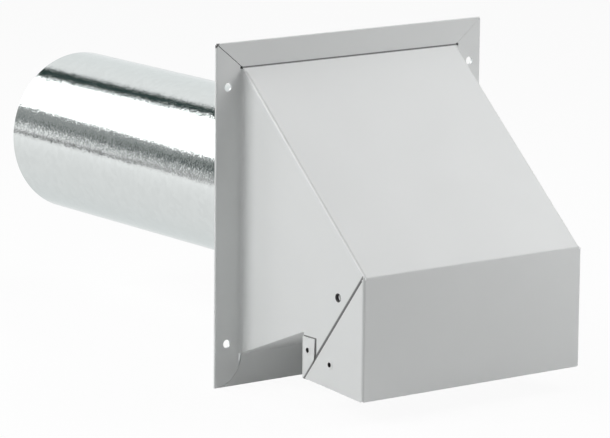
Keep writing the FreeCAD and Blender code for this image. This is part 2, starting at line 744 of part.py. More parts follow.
def side_rivets(label, face, depth, height):
    """A blind rivet on each side: domed head outside, mandrel hole, shank and swollen tail inside."""
    body = new_body(label)
    core = "(rivet_core / 2)"
    head = "(rivet_head / 2)"
    shank = "(rivet_shank / 2)"
    tail = "(rivet_tail / 2)"
    inside = "(%s - sheet)" % HALF
    ball = "(((rivet_head / 2) ^ 2 + rivet_dome ^ 2) / (2 * rivet_dome))"
    ball_x = "-(%s + rivet_dome - %s)" % (face, ball)
    crown_x = "%s - sqrt(%s ^ 2 - %s ^ 2)" % (ball_x, ball, core)
    sketch = new_sketch(body, "rivet", "XY_Plane")
    draw_pair(sketch, [
        (crown_x, core, "right", ball_x, "0"),
        ("-%s" % face, head),
        ("-%s" % face, shank),
        ("-%s" % inside, shank),
        ("-%s" % inside, tail),
        ("-(%s - rivet_tail_length * 0.8)" % inside, tail),
        ("-(%s - rivet_tail_length)" % inside, shank),
        ("-(%s - rivet_tail_length)" % inside, "0"),
        ("-(%s + rivet_dome - rivet_core_depth)" % face, "0"),
        ("-(%s + rivet_dome - rivet_core_depth)" % face, core),
    ])
    spin(body, "rivet", sketch, "H_Axis")
    place_at(body, "0", out(depth), height)
    return body


# The damper


def damper_plate():
    """Sheet that turns on the rod, folded below into a lip that lies flat on the foam when shut."""
    body = new_body("damper_plate")
    sketch = new_sketch(body, "plate", "YZ_Plane")
    lip_y = "damper_lip * sin(%s)" % SHUT
    lip_z = "damper_lip * cos(%s)" % SHUT
    draw(sketch, [
        (ROD, UPPER_WING),
        (BACK, UPPER_WING),
        (BACK, "-%s" % WING),
        ("%s - %s" % (BACK, lip_y), "-%s - %s" % (WING, lip_z)),
        ("%s - %s - damper_sheet * cos(%s)" % (BACK, lip_y, SHUT),
         "-%s - %s + damper_sheet * sin(%s)" % (WING, lip_z, SHUT)),
        (ROD, "-%s + damper_sheet * tan(%s / 2)" % (WING, SHUT)),
    ])
    feature(body, "Pad", "plate", sketch, "2 * %s" % WING_HALF, both_ways=True)

    # Notch in the left end for the spring's coil
    sketch = new_sketch(body, "spring_notch", "XZ_Plane", "0")
    inner = "-(%s - coil_side - (coil_turns + 0.25) * coil_pitch - wire / 2 - notch_side)" % WING_HALF
    draw(sketch, [
        ("-(%s + reach)" % WING_HALF, "-notch_down"),
        (inner, "-notch_down"),
        (inner, "notch_up"),
        ("-(%s + reach)" % WING_HALF, "notch_up"),
    ])
    feature(body, "Pocket", "spring_notch", sketch, "%s + reach" % BACK)

    sketch = new_sketch(body, "rivet_holes", "XZ_Plane", "0")
    for x, z in clip_rivet_spots():
        draw_circle(sketch, x, z, "clip_rivet_shank / 2 + rivet_play")
    feature(body, "Pocket", "rivet_holes", sketch, "%s + reach" % BACK)
    on_pivot(body)
    return body


def clip_rivet_spots():
    """Where the clips' feet are riveted, beside and above or below the rod."""
    foot = "(rod_diameter / 2 + ply_gap + clip_sheet + clip_foot / 2)"
    return [(side + "clip_spread", end + foot) for side in ("-", "") for end in ("-", "")]


def damper_rod():
    body = new_body("damper_rod")
    sketch = new_sketch(body, "rod", "YZ_Plane")
    draw_circle(sketch, "0", "0", ROD)
    feature(body, "Pad", "rod", sketch, "2 * (%s - rod_recess)" % HALF, both_ways=True)
    on_pivot(body)
    return body


def rod_bush(label, side):
    """Flanged bush: its barrel fills the hole in the side, its flange and collar lie inside the hood."""
    body = new_body(label)
    bore = "(rod_diameter / 2 + bush_play)"
    sketch = new_sketch(body, "bush", "XY_Plane")
    wall = "(%s - sheet)" % HALF
    draw(sketch, [
        ("%s%s" % (side, HALF), bore),
        ("%s%s" % (side, HALF), "bush_barrel / 2"),
        ("%s%s" % (side, wall), "bush_barrel / 2"),
        ("%s%s" % (side, wall), "bush_flange / 2"),
        ("%s(%s - bush_flange_thick)" % (side, wall), "bush_flange / 2"),
        ("%s(%s - bush_flange_thick)" % (side, wall), "bush_collar / 2"),
        ("%s(%s - bush_inside)" % (side, wall), "bush_collar / 2"),
        ("%s(%s - bush_inside)" % (side, wall), bore),
    ])
    spin(body, "bush", sketch, "H_Axis")
    place_at(body, "0", out("pivot_depth"), "pivot_height")
    return body


def rod_clip(label, side):
    """Saddle clip over the rod, with a foot above and below it on the damper plate."""
    body = new_body(label)
    grip = "(rod_diameter / 2 + ply_gap)"
    crest = "(rod_diameter / 2 + ply_gap + clip_sheet)"
    foot_y = "(rod_diameter / 2 - clip_sheet)"
    foot_z = "(rod_diameter / 2 + ply_gap + clip_sheet + clip_foot)"
    sketch = new_sketch(body, "saddle", "YZ_Plane")
    draw(sketch, [
        (foot_y, foot_z),
        (foot_y, crest),
        ("0", crest, "left", "0", "0"),
        ("0", "-%s" % crest),
        (foot_y, "-%s" % crest),
        (foot_y, "-%s" % foot_z),
        (ROD, "-%s" % foot_z),
        (ROD, "-%s" % grip),
        ("0", "-%s" % grip, "right", "0", "0"),
        ("0", grip),
        (ROD, grip),
        (ROD, foot_z),
    ])
    feature(body, "Pad", "saddle", sketch, "clip_width", both_ways=True)
    sketch = new_sketch(body, "rivet_holes", "XZ_Plane", "0")
    for _, z in clip_rivet_spots()[:2]:
        draw_circle(sketch, "0", z, "clip_rivet_shank / 2 + rivet_play")
    feature(body, "Pocket", "rivet_holes", sketch, "%s + reach" % ROD)
    on_pivot(body, side + "clip_spread")
    return body


def clip_rivets():
    """Four rivets through the clips' feet and the damper plate."""
    body = new_body("clip_rivets")
    foot_front = "(rod_diameter / 2 - clip_sheet)"
    stages = [
        ("shanks", "clip_rivet_shank / 2", "-(%s)" % foot_front, "clip_sheet + damper_sheet"),
        ("heads", "clip_rivet_head / 2", "-(%s) + clip_rivet_dome" % foot_front, "clip_rivet_dome"),
        ("tails", "clip_rivet_tail / 2", "-(%s)" % BACK, "clip_rivet_tail_length"),
    ]
    for name, radius, front, length in stages:
        sketch = new_sketch(body, name, "XZ_Plane", front)
        for x, z in clip_rivet_spots():
            draw_circle(sketch, x, z, radius)
        made = feature(body, "Pad", name, sketch, length)
        made.Reversed = True
        doc.recompute()
    on_pivot(body)
    return body


def damper_spring():
    """Torsion spring: a leg against the front panel, a coil round the rod, a leg on the damper plate."""
    wire = number("wire / 2")
    coil = number("rod_diameter / 2 + coil_play + wire / 2")
    pitch = number("coil_pitch")
    end_x = number("-(%s - coil_side)" % WING_HALF)
    on_plate = number("rod_diameter / 2 - wire / 2 - ply_gap")

    # The rear leg leaves the coil on a tangent to this point, where it bends to lie on the plate.
    bend = FreeCAD.Vector(0, on_plate, -number("notch_down - wire"))
    bend_angle = math.atan2(bend.z, bend.y)
    leave_angle = bend_angle + math.acos(coil / bend.Length)
    turns = number("coil_turns") + (math.pi / 2 - leave_angle) / (2 * math.pi)
    start_x = end_x + turns * pitch

    helix = Part.makeHelix(pitch, turns * pitch, coil)
    helix.Placement = FreeCAD.Placement(
        FreeCAD.Vector(start_x, 0, 0), FreeCAD.Rotation(FreeCAD.Vector(0, 1, 0), -90)
    )
    drift = pitch / (2 * math.pi * coil)

    # The front leg runs on the coil's tangent to the front panel's inner face.
    start = FreeCAD.Vector(start_x, 0, coil)
    forward = FreeCAD.Vector(drift, -1, 0).normalize()
    turned = FreeCAD.Rotation(FreeCAD.Vector(1, 0, 0), number(SHUT))
    to_panel = number("hood_depth - sheet - pivot_depth - seal_play")
    front_leg = (to_panel + turned.multVec(start).y - wire) / -turned.multVec(forward).y

    leave = FreeCAD.Vector(end_x, coil * math.cos(leave_angle), coil * math.sin(leave_angle))
    down = FreeCAD.Vector(0, math.sin(leave_angle), -math.cos(leave_angle))
    rear_way = (down - FreeCAD.Vector(drift, 0, 0)).normalize()
    corner = leave + rear_way * ((bend.z - leave.z) / rear_way.z)
    rear_end = FreeCAD.Vector(corner.x, on_plate, -number("leg_length"))

    # The wire is drawn with flats, of the same cross section as the round one.
    flats = round(number("wire_flats"))
    corner_out = wire * math.sqrt(2 * math.pi / flats / math.sin(2 * math.pi / flats))
    across_wire = forward.cross(FreeCAD.Vector(0, 0, 1)).normalize()
    up_wire = across_wire.cross(forward).normalize()
    ring = []
    for i in range(flats + 1):
        turn = 2 * math.pi * i / flats
        step = across_wire * math.cos(turn) + up_wire * math.sin(turn)
        ring.append(start + step * corner_out)
    section = Part.makePolygon(ring)
    winding = Part.Wire(helix.Edges).makePipeShell([section], True, False)
    end_face = min(winding.Faces, key=lambda f: (f.CenterOfMass - leave).Length)
    legs = [
        Part.Face(section).extrude(forward * front_leg),
        end_face.extrude(corner - leave),
        Part.makeSphere(wire, corner),
        Part.makeCylinder(wire, (rear_end - corner).Length, corner, rear_end - corner),
    ]
    spring = doc.addObject("Part::Feature", "damper_spring")
    spring.Label = "damper_spring"
    spring.Shape = winding.multiFuse(legs).removeSplitter().Solids[0]
    place_at(spring, "0", out("pivot_depth"), "pivot_height", SHUT)
    return spring


# Foam strips


def lower_seal():
    """Foam strip on the step wall, where the damper's lip comes to rest."""
    strip = doc.addObject("Part::Box", "lower_seal")
    strip.Label = "lower_seal"
    strip.setExpression("Length", bound("2 * (%s - sheet - seal_inset)" % HALF))
    strip.setExpression("Width", bound("seal_thick"))
    strip.setExpression("Height", bound("seal_tall"))
    place_at(strip, "-(%s - sheet - seal_inset)" % HALF, out("step_depth + sheet + seal_thick"),
             "lip_height - seal_tall")
    return strip


def upper_seal():
    """Square foam strip under the slope, just ahead of the shut damper's upper wing."""
    strip = doc.addObject("Part::Box", "upper_seal")
    strip.Label = "upper_seal"
    lean = "(atan2(%s; hood_depth) - %s)" % (RISE, SHUT)
    foot = "((pivot_depth * hood_depth + (hood_top - pivot_height) * %s) / %s)" % (RISE, SLOPE)
    wing = "((%s - stop_thick) * tan(%s) + rod_diameter / 2 / cos(%s))" % (HEADROOM, lean, lean)
    along = "(%s - %s + seal_play + stop_thick)" % (foot, wing)
    below = "(sheet + stop_thick)"
    depth = "(%s * hood_depth - %s * %s) / %s" % (along, below, RISE, SLOPE)
    height = "hood_top - (%s * %s + %s * hood_depth) / %s" % (along, RISE, below, SLOPE)
    strip.setExpression("Length", bound("2 * (%s - sheet - seal_inset)" % HALF))
    strip.setExpression("Width", bound("stop_thick"))
    strip.setExpression("Height", bound("stop_thick"))
    place_at(strip, "-(%s - sheet - seal_inset)" % HALF, out("(" + depth + ")"), height,
             "atan2(%s; hood_depth)" % RISE)
    return strip


parts = [
    hood_shell(),
    bottom_pan(),
    wall_plate(),
    duct_pipe(),
    side_rivets("tab_rivets", "(%s + ply_gap + sheet)" % HALF, "tab_rivet_depth", "tab_rivet_height"),
    side_rivets("flap_rivets", FLAP_FACE, "flap_rivet_depth", "flap_rivet_height"),
    damper_plate(),
    damper_rod(),
    rod_bush("left_rod_bush", "-"),
    rod_bush("right_rod_bush", ""),
    rod_clip("left_rod_clip", "-"),
    rod_clip("right_rod_clip", ""),
    clip_rivets(),
    damper_spring(),
    lower_seal(),
    upper_seal(),
]

doc.recompute()
for thing in doc.Objects:
    if "Invalid" in thing.State or "Error" in thing.State:
        raise RuntimeError("%s did not build: %s" % (thing.Label, thing.State))

os.makedirs("parts", exist_ok=True)
for part in parts:
    shape = part.Shape
    if shape.isNull() or not shape.isValid():
        raise RuntimeError("%s has no valid shape" % part.Label)
    shape.exportStep(os.path.join("parts", part.Label + ".step"))
    print("%-16s %2d solid(s) %9.1f mm3" % (part.Label, len(shape.Solids), shape.Volume))
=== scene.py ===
# %% [markdown]
# # A dryer vent cap
# The real object is a hood folded from painted sheet, on a hemmed flange that is screwed to an outside
# wall. A galvanized tail pipe carries the dryer's air through the wall, and a spring closed damper hangs
# above the open mouth.
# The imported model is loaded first. Its nodes stay where they are, and everything else is built around them.

# %% Load the frame
import math
import random

import bpy
from mathutils import Matrix, Vector


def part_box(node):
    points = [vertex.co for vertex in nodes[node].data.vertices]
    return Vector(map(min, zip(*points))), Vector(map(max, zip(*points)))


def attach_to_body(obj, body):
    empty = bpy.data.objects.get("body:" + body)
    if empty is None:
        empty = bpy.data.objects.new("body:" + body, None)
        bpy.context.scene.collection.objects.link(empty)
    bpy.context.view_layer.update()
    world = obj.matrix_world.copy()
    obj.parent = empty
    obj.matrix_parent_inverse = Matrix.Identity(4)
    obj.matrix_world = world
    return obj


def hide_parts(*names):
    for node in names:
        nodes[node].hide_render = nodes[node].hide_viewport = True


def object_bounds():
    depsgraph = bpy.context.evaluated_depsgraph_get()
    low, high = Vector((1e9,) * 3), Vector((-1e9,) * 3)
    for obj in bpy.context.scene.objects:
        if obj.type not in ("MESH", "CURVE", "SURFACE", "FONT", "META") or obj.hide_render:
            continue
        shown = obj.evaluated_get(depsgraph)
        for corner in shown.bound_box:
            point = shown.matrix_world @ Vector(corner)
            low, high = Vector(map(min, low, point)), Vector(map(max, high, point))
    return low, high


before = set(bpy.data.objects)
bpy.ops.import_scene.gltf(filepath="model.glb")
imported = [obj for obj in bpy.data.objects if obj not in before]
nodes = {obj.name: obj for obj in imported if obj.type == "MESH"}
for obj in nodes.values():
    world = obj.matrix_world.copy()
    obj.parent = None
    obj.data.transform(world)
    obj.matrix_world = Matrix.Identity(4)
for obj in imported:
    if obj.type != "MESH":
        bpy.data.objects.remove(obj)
cad_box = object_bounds()
MM = 0.001
print("nodes:", sorted(nodes))

# %% [markdown]
# ## The camera
# A long lens from far away keeps the hood's parallel edges nearly parallel. The camera stands to the left
# and a little above. It could be pushed about by hand until the edges line up, but its place was worked out
# from the corners, the holes and the pipe's outline, so it is written as angles, a distance and two small
# shifts, and turned into a matrix here.

# %% Camera
PHOTO_WIDTH = 610
FOCAL_PIXELS = 4140.0
AZIMUTH, ELEVATION, ROLL = (math.radians(angle) for angle in (-36.89, 11.21, 0.53))
DISTANCE = 2.458
SHIFT_LEFT, SHIFT_DOWN = 0.0266, 0.0113
FLANGE_FACE = 1.75

camera_back = Vector(
    (
        math.sin(AZIMUTH) * math.cos(ELEVATION),
        -math.cos(AZIMUTH) * math.cos(ELEVATION),
        math.sin(ELEVATION),
    )
)
level_right = Vector((math.cos(AZIMUTH), math.sin(AZIMUTH), 0))
level_up = camera_back.cross(level_right)
camera_right = level_right * math.cos(ROLL) + level_up * math.sin(ROLL)
camera_up = level_up * math.cos(ROLL) - level_right * math.sin(ROLL)
flange_middle = Vector((0, -FLANGE_FACE, 0)) * MM
camera_spot = flange_middle + camera_back * DISTANCE
camera_spot = camera_spot - camera_right * SHIFT_LEFT - camera_up * SHIFT_DOWN

lens = bpy.data.cameras.new("photo_lens")
lens.sensor_width = 36.0
lens.lens = FOCAL_PIXELS / PHOTO_WIDTH * lens.sensor_width
camera = bpy.data.objects.new("photo_camera", lens)
bpy.context.collection.objects.link(camera)
camera.matrix_world = Matrix.Translation(camera_spot) @ Matrix(
    (camera_right, camera_up, camera_back)
).transposed().to_4x4()
bpy.context.scene.camera = camera
bpy.context.scene.view_settings.view_transform = "Standard"
print("lens %.1f mm, camera at" % lens.lens, [round(c, 3) for c in camera.location])

# %% [markdown]
# ## Node helpers
# Every finish below is a small node tree. These helpers add a node, join two sockets and set plain values,
# so that each finish reads as a short list of what it is made of.


# %% Node helpers
def new_finish(name):
    material = bpy.data.materials.new(name)
    material.use_nodes = True
    tree = material.node_tree
    return material, tree, tree.nodes["Principled BSDF"]


def object_place(tree):
    """A point's place on its own object, so that a pattern stays on the piece."""
    return tree.nodes.new("ShaderNodeTexCoord").outputs["Object"]


def add_node(tree, kind, **values):
    """A node, with its inputs set by name, where a space is written as an underscore."""
    node = tree.nodes.new(kind)
    for name, value in values.items():
        if name in node.bl_rna.properties:
            setattr(node, name, value)
        else:
            node.inputs[name.replace("_", " ")].default_value = value
    return node


def math_node(tree, operation, a, b=None, clamp=False):
    node = tree.nodes.new("ShaderNodeMath")
    node.operation = operation
    node.use_clamp = clamp
    for socket, value in zip(node.inputs, (a, b)):
        if value is None:
            continue
        if hasattr(value, "links"):
            tree.links.new(value, socket)
        else:
            socket.default_value = value
    return node.outputs[0]


def product(tree, first, *others):
    for other in others:
        first = math_node(tree, "MULTIPLY", first, other)
    return first


def range_node(tree, value, low, high):
    """A value from 0 to 1, spread from low to high."""
    node = tree.nodes.new("ShaderNodeMapRange")
    node.inputs["To Min"].default_value = low
    node.inputs["To Max"].default_value = high
    tree.links.new(value, node.inputs["Value"])
    return node.outputs[0]


def noise_node(tree, place, scale, detail, roughness=0.5):
    node = add_node(tree, "ShaderNodeTexNoise", Scale=scale, Detail=detail, Roughness=roughness)
    tree.links.new(place, node.inputs["Vector"])
    return node.outputs["Fac"]


def ramp_node(tree, factor, stops):
    node = tree.nodes.new("ShaderNodeValToRGB")
    elements = node.color_ramp.elements
    while len(elements) < len(stops):
        elements.new(0.5)
    for element, (place, grey) in zip(elements, stops):
        element.position = place
        colour = grey if isinstance(grey, tuple) else (grey, grey, grey)
        element.color = (*colour, 1)
    tree.links.new(factor, node.inputs[0])
    return node.outputs[0]


def mix_colours(tree, factor, low, high):
    mix = tree.nodes.new("ShaderNodeMix")
    mix.data_type = "RGBA"
    tree.links.new(factor, mix.inputs[0])
    for socket, value in ((mix.inputs[6], low), (mix.inputs[7], high)):
        if hasattr(value, "links"):
            tree.links.new(value, socket)
        else:
            socket.default_value = (*value, 1)
    return mix.outputs[2]


def bump_node(tree, height, strength, distance, below=None):
    node = tree.nodes.new("ShaderNodeBump")
    node.inputs["Strength"].default_value = strength
    node.inputs["Distance"].default_value = distance
    tree.links.new(height, node.inputs["Height"])
    if below is not None:
        tree.links.new(below, node.inputs["Normal"])
    return node.outputs[0]


print("helpers ready")

# %% [markdown]
# ## The studio's world
# A polished pipe is only as good as what it mirrors. A picture of a studio could be wrapped round the scene,
# but a few ramps on a ray's direction draw all that this pipe shows, and they stay easy to move. Glossy rays
# see two lit walls and two dark places: a narrow slit overhead, a little left of the middle, and a dim band
# low on the left. These draw the dark lines along the pipe. The camera sees plain white, and all other rays
# get a faint even light.

# %% Dark places in the world
# A direction's X, Y and Z run from -1 to 1. A ramp runs from 0 to 1, so the horizon is put at its middle
HORIZON = 0.5
ALONG_PIPE = 0.35
SLIT_MIDDLE = -0.03
SLIT_INNER, SLIT_OUTER = 0.128, 0.153
SLIT_LOWEST = 0.1
BAND_START = 0.2
# The band reaches up to 17 to 20 degrees
BAND = [(0.0, 0.76), (HORIZON + 0.29, 0.76), (HORIZON + 0.335, 0.0)]
# Rays from the pipe's far end find a gap between it and the horizon
FAR_END = [(0.818, 0.0), (0.842, 1.0)]
BAND_FOOT = [(HORIZON + 0.045, 1.0), (HORIZON + 0.075, 0.0)]
# Rays from near the wall find a darker core in it
NEAR_WALL = [(0.800, 0.95), (0.835, 0.0)]
CORE = [(HORIZON + 0.03, 0.0), (HORIZON + 0.07, 1.0), (HORIZON + 0.19, 1.0), (HORIZON + 0.24, 0.0)]


def dark_places(tree, x, y, z):
    """How dark a direction is to glossy rays, from 0 to 1."""
    along = math_node(tree, "GREATER_THAN", math_node(tree, "ABSOLUTE", y), ALONG_PIPE)
    off_middle = math_node(tree, "ABSOLUTE", math_node(tree, "SUBTRACT", x, SLIT_MIDDLE))
    slit = ramp_node(tree, off_middle, [(0.0, 1.0), (SLIT_INNER, 1.0), (SLIT_OUTER, 0.0)])
    slit = product(tree, slit, math_node(tree, "GREATER_THAN", z, SLIT_LOWEST), along)

    lift = math_node(tree, "ADD", z, HORIZON)
    foot = product(tree, ramp_node(tree, y, FAR_END), ramp_node(tree, lift, BAND_FOOT))
    band = product(tree, ramp_node(tree, lift, BAND), math_node(tree, "SUBTRACT", 1.0, foot))
    core = product(tree, ramp_node(tree, lift, CORE), ramp_node(tree, y, NEAR_WALL))
    leftward = math_node(tree, "LESS_THAN", x, -BAND_START)
    band = product(tree, math_node(tree, "MAXIMUM", band, core), leftward, along)
    return math_node(tree, "MAXIMUM", slit, band)


print("slit: %.3f wide" % (SLIT_INNER + SLIT_OUTER))

# %% World
LEFT_WALL, RIGHT_WALL = 1.5, 1.08
DARK_PLACE = (0.03, 0.052, 0.048)
ROOM_LIGHT = 0.06


def studio_world():
    world = bpy.data.worlds.new("studio")
    bpy.context.scene.world = world
    world.use_nodes = True
    tree = world.node_tree
    tree.nodes.clear()
    split = tree.nodes.new("ShaderNodeSeparateXYZ")
    tree.links.new(tree.nodes.new("ShaderNodeTexCoord").outputs["Generated"], split.inputs[0])
    x, y, z = split.outputs
    rightward = math_node(tree, "GREATER_THAN", x, 0.0)
    walls = ramp_node(tree, rightward, [(0.0, LEFT_WALL), (1.0, RIGHT_WALL)])
    mirrored = mix_colours(tree, dark_places(tree, x, y, z), walls, DARK_PLACE)

    plain = add_node(tree, "ShaderNodeBackground", Color=(0.96, 0.98, 1.0, 1), Strength=ROOM_LIGHT)
    glossy = add_node(tree, "ShaderNodeBackground", Strength=1.0)
    tree.links.new(mirrored, glossy.inputs["Color"])
    white = add_node(tree, "ShaderNodeBackground", Color=(1, 1, 1, 1), Strength=1.0)
    rays = tree.nodes.new("ShaderNodeLightPath")
    seen = plain
    for ray, background in (("Is Glossy Ray", glossy), ("Is Camera Ray", white)):
        mix = tree.nodes.new("ShaderNodeMixShader")
        tree.links.new(rays.outputs[ray], mix.inputs[0])
        tree.links.new(seen.outputs[0], mix.inputs[1])
        tree.links.new(background.outputs[0], mix.inputs[2])
        seen = mix
    output = tree.nodes.new("ShaderNodeOutputWorld")
    tree.links.new(seen.outputs[0], output.inputs[0])
    return world


print("world:", studio_world().name)

# %% [markdown]
# ## The lamps
# The side and the slope are bright, the front is darker and gains light towards its right end, and the
# flange strip beside the hood is darkest. One lamp near the camera would light all of them alike. So the key
# softbox stands to the left and slightly behind, where it reaches the side and not the front. A second hangs
# overhead on the right, for the slope. A small fill, low at the right front, lights the front but not the
# strip that the hood hides from it. The fourth stands behind the wall's plane on the left, where the pipe
# mirrors it as a broad white band.


# %% Lamps
def softbox(name, spot, aim, size, watts):
    """A square area light that faces a point."""
    lamp = bpy.data.lights.new(name, "AREA")
    lamp.shape = "RECTANGLE"
    lamp.size, lamp.size_y = size
    lamp.energy = watts
    box = bpy.data.objects.new(name, lamp)
    bpy.context.collection.objects.link(box)
    box.location = spot
    box.rotation_euler = (Vector(aim) - Vector(spot)).to_track_quat("-Z", "Y").to_euler()
    return box


# Each one's name, where it stands, what it faces, its size in metres and its watts
SOFTBOXES = (
    ("key_softbox", (-1.26, 0.34, 0.93), (0, -0.06, 0), (0.8, 0.8), 15.2),
    ("overhead_softbox", (0.70, -0.30, 1.00), (0, -0.05, 0), (0.7, 0.6), 7.0),
    ("right_fill", (0.42, -0.52, -0.02), (0.02, -0.12, -0.055), (0.4, 0.14), 0.80),
    ("pipe_softbox", (-0.55, 1.25, 0.80), (0, 0.1, 0), (0.84, 0.84), 6.0),
)
print("softboxes:", [softbox(*settings).name for settings in SOFTBOXES])

# %% [markdown]
# ## The floor
# The object is set down with its flange's edge on a plain white floor. A curved backdrop could hide the
# horizon, but a flat plane does it too when it shows white to the camera. Part of it stays matte paint, and
# keeps the soft shadow. In the pipe the photographer's table shows up to its edge, so glossy rays see a floor
# that ends on the left, with a dark strip beyond its edge for the pipe's far end and dimness for the rest.

# %% What the pipe mirrors of the floor
TABLE_EDGE = -0.68
EDGE_BLUR = 0.03
STRIP_WIDTH = 0.62
STRIP_FADE = 0.1
# Rays from the pipe's far end land on one side of a slanting line, and those from near the wall on the other
PARTING_START, PARTING_SLOPE, PARTING_BLUR = 0.985, 1.33, 0.06
DIM_NEAR, DIM_FAR = 0.62, 0.97
TABLE_GLOW = 1.2
GLOW_RISE = [(0.15, 0.833), (0.6, 1.0)]


def mirrored_table(tree):
    """How bright glossy rays find the floor."""
    split = tree.nodes.new("ShaderNodeSeparateXYZ")
    tree.links.new(object_place(tree), split.inputs[0])
    x, y = split.outputs[0], split.outputs[1]
    past = math_node(tree, "SUBTRACT", TABLE_EDGE, x)
    beyond = ramp_node(tree, past, [(0.0, 0.0), (EDGE_BLUR, 1.0)])
    strip_end = [(STRIP_WIDTH - STRIP_FADE, 1.0), (STRIP_WIDTH, 0.0)]
    strip = ramp_node(tree, past, [(0.0, 0.0), (EDGE_BLUR, 1.0)] + strip_end)
    parting = math_node(tree, "ADD", math_node(tree, "MULTIPLY", past, PARTING_SLOPE), PARTING_START)
    aside = math_node(tree, "ADD", math_node(tree, "SUBTRACT", y, parting), 0.5)
    far_end = ramp_node(tree, aside, [(0.5 - PARTING_BLUR, 0.0), (0.5 + PARTING_BLUR, 1.0)])
    near_wall = math_node(tree, "SUBTRACT", 1.0, far_end)
    dim_near = product(tree, beyond, near_wall, DIM_NEAR)
    dim_far = product(tree, strip, far_end, DIM_FAR)
    lit = math_node(tree, "SUBTRACT", 1.0, math_node(tree, "MAXIMUM", dim_near, dim_far))
    glow = ramp_node(tree, math_node(tree, "MULTIPLY", x, -1.0), GLOW_RISE)
    return product(tree, glow, TABLE_GLOW, lit)


print("table edge at x =", TABLE_EDGE)

# %% Floor
FLOOR_SIZE = 12.0
FLOOR_DROP = 0.0006
MATTE_TONE, BOUNCE_TONE = 0.9, 0.85
GLOW_SHARE = 0.94


def white_floor():
    bpy.ops.object.select_all(action="DESELECT")
    bpy.ops.mesh.primitive_plane_add(size=FLOOR_SIZE, location=(0, 0, cad_box[0][2] - FLOOR_DROP))
    floor = bpy.context.active_object
    floor.name = "floor"
    material, tree, shader = new_finish("white_floor")
    shader.inputs["Roughness"].default_value = 0.9
    rays = tree.nodes.new("ShaderNodeLightPath")
    tone = ramp_node(tree, rays.outputs["Is Diffuse Ray"], [(0.0, MATTE_TONE), (1.0, BOUNCE_TONE)])
    tree.links.new(tone, shader.inputs["Base Color"])
    glow = add_node(tree, "ShaderNodeEmission", Color=(1, 1, 1, 1), Strength=1.0)
    lit = math_node(tree, "MULTIPLY", mirrored_table(tree), rays.outputs["Is Glossy Ray"])
    lit = math_node(tree, "ADD", lit, rays.outputs["Is Camera Ray"])
    tree.links.new(lit, glow.inputs["Strength"])
    by_camera, by_gloss = rays.outputs["Is Camera Ray"], rays.outputs["Is Glossy Ray"]
    seen = math_node(tree, "ADD", by_camera, by_gloss, clamp=True)
    mix = tree.nodes.new("ShaderNodeMixShader")
    tree.links.new(math_node(tree, "MULTIPLY", seen, GLOW_SHARE), mix.inputs[0])
    tree.links.new(shader.outputs[0], mix.inputs[1])
    tree.links.new(glow.outputs[0], mix.inputs[2])
    tree.links.new(mix.outputs[0], tree.nodes["Material Output"].inputs[0])
    floor.data.materials.append(material)
    return floor


print("floor:", white_floor().name)

# %% [markdown]
# ## Places on the hood
# The sheets really overlap, with their own thickness and small gaps between them, but each gap is less than
# a pixel wide in this view. More geometry wouldn't show, so the paint and the zinc get painted shade, a dark
# tone where the sheets meet, and the paint gets painted light on the folds at the slope's sides. For that
# they need a few places on the hood, in millimetres: half widths across, depths out from the flange's face,
# and heights above the pipe's axis.

# %% Places on the hood
SHEET = 0.55
SIDE = 79.1
HOOD_DEPTH = 118.1
FRONT_TOP = -17.6
FLAP_BACK, FLAP_LOW = 64.1, -85.3
TAB_BACK, TAB_FRONT, TAB_TOP = 60.2, 72.3, -61.0
CORNER_FOLD = 2.2
TOP_FOLD = 86.7
FLANGE_SIDE, FLANGE_TOP = 97.95, 101.95


def hood_places(tree, place):
    """A point's X, its distance from the middle, its depth and its height, in millimetres."""
    split = tree.nodes.new("ShaderNodeSeparateXYZ")
    tree.links.new(place, split.inputs[0])
    x = math_node(tree, "MULTIPLY", split.outputs[0], 1 / MM)
    outward = math_node(tree, "MULTIPLY", split.outputs[1], -1 / MM)
    height = math_node(tree, "MULTIPLY", split.outputs[2], 1 / MM)
    across = math_node(tree, "ABSOLUTE", x)
    return x, across, math_node(tree, "SUBTRACT", outward, FLANGE_FACE), height


def soft_step(tree, value, edge, width):
    """1 below the edge and 0 above it."""
    step = tree.nodes.new("ShaderNodeMapRange")
    step.inputs["From Min"].default_value = edge - width / 2
    step.inputs["From Max"].default_value = edge + width / 2
    step.inputs["To Min"].default_value = 1.0
    step.inputs["To Max"].default_value = 0.0
    tree.links.new(value, step.inputs["Value"])
    return step.outputs[0]


def left_of_line(tree, u, v, start, end):
    """How far a point lies to the left of the line that runs from start to end."""
    run, rise = end[0] - start[0], end[1] - start[1]
    length = math.hypot(run, rise)
    from_u = math_node(tree, "MULTIPLY", math_node(tree, "SUBTRACT", u, start[0]), -rise / length)
    from_v = math_node(tree, "MULTIPLY", math_node(tree, "SUBTRACT", v, start[1]), run / length)
    return math_node(tree, "ADD", from_u, from_v)


print("flap's slanting edge: %.1f mm" % math.hypot(HOOD_DEPTH - FLAP_BACK, FRONT_TOP - FLAP_LOW))

# %% [markdown]
# ## Painted shade at each seam, and painted light on two folds
# Each of these is 1 in one narrow place and 0 elsewhere, so it can mix a tone into the paint. Painted shade, a
# dark tone for the shadow in the gaps, goes behind the slanting edge of the front's flap, round the pan's end
# tab, in the crease along the flange's top and at the open end of the hem in the upper left corner. Painted
# light, a paler tone, goes on the folds at the slope's sides.

# %% Masks for painted shade and light
FLAP_BLUR = 0.8
TAB_AHEAD, TAB_ABOVE, TAB_BLUR = 0.9, 0.7, 0.5
FACE_CLEAR, FACE_BLUR = 0.2, 0.1
CREASE_HALF, CREASE_BLUR = 0.45, 0.3
CREASE_DEPTH, DEPTH_BLUR = 1.2, 0.4
OPEN_CORNER, CORNER_BLUR = 2.6, 0.6
FOLD_BAND, FOLD_CLEAR = 0.9, 0.3
FLANGE_CLEAR = 1.0


def behind_flap(tree, places, reach):
    _, _, depth, height = places
    behind = left_of_line(tree, depth, height, (FLAP_BACK, FLAP_LOW), (HOOD_DEPTH, FRONT_TOP))
    return soft_step(tree, behind, reach, FLAP_BLUR)


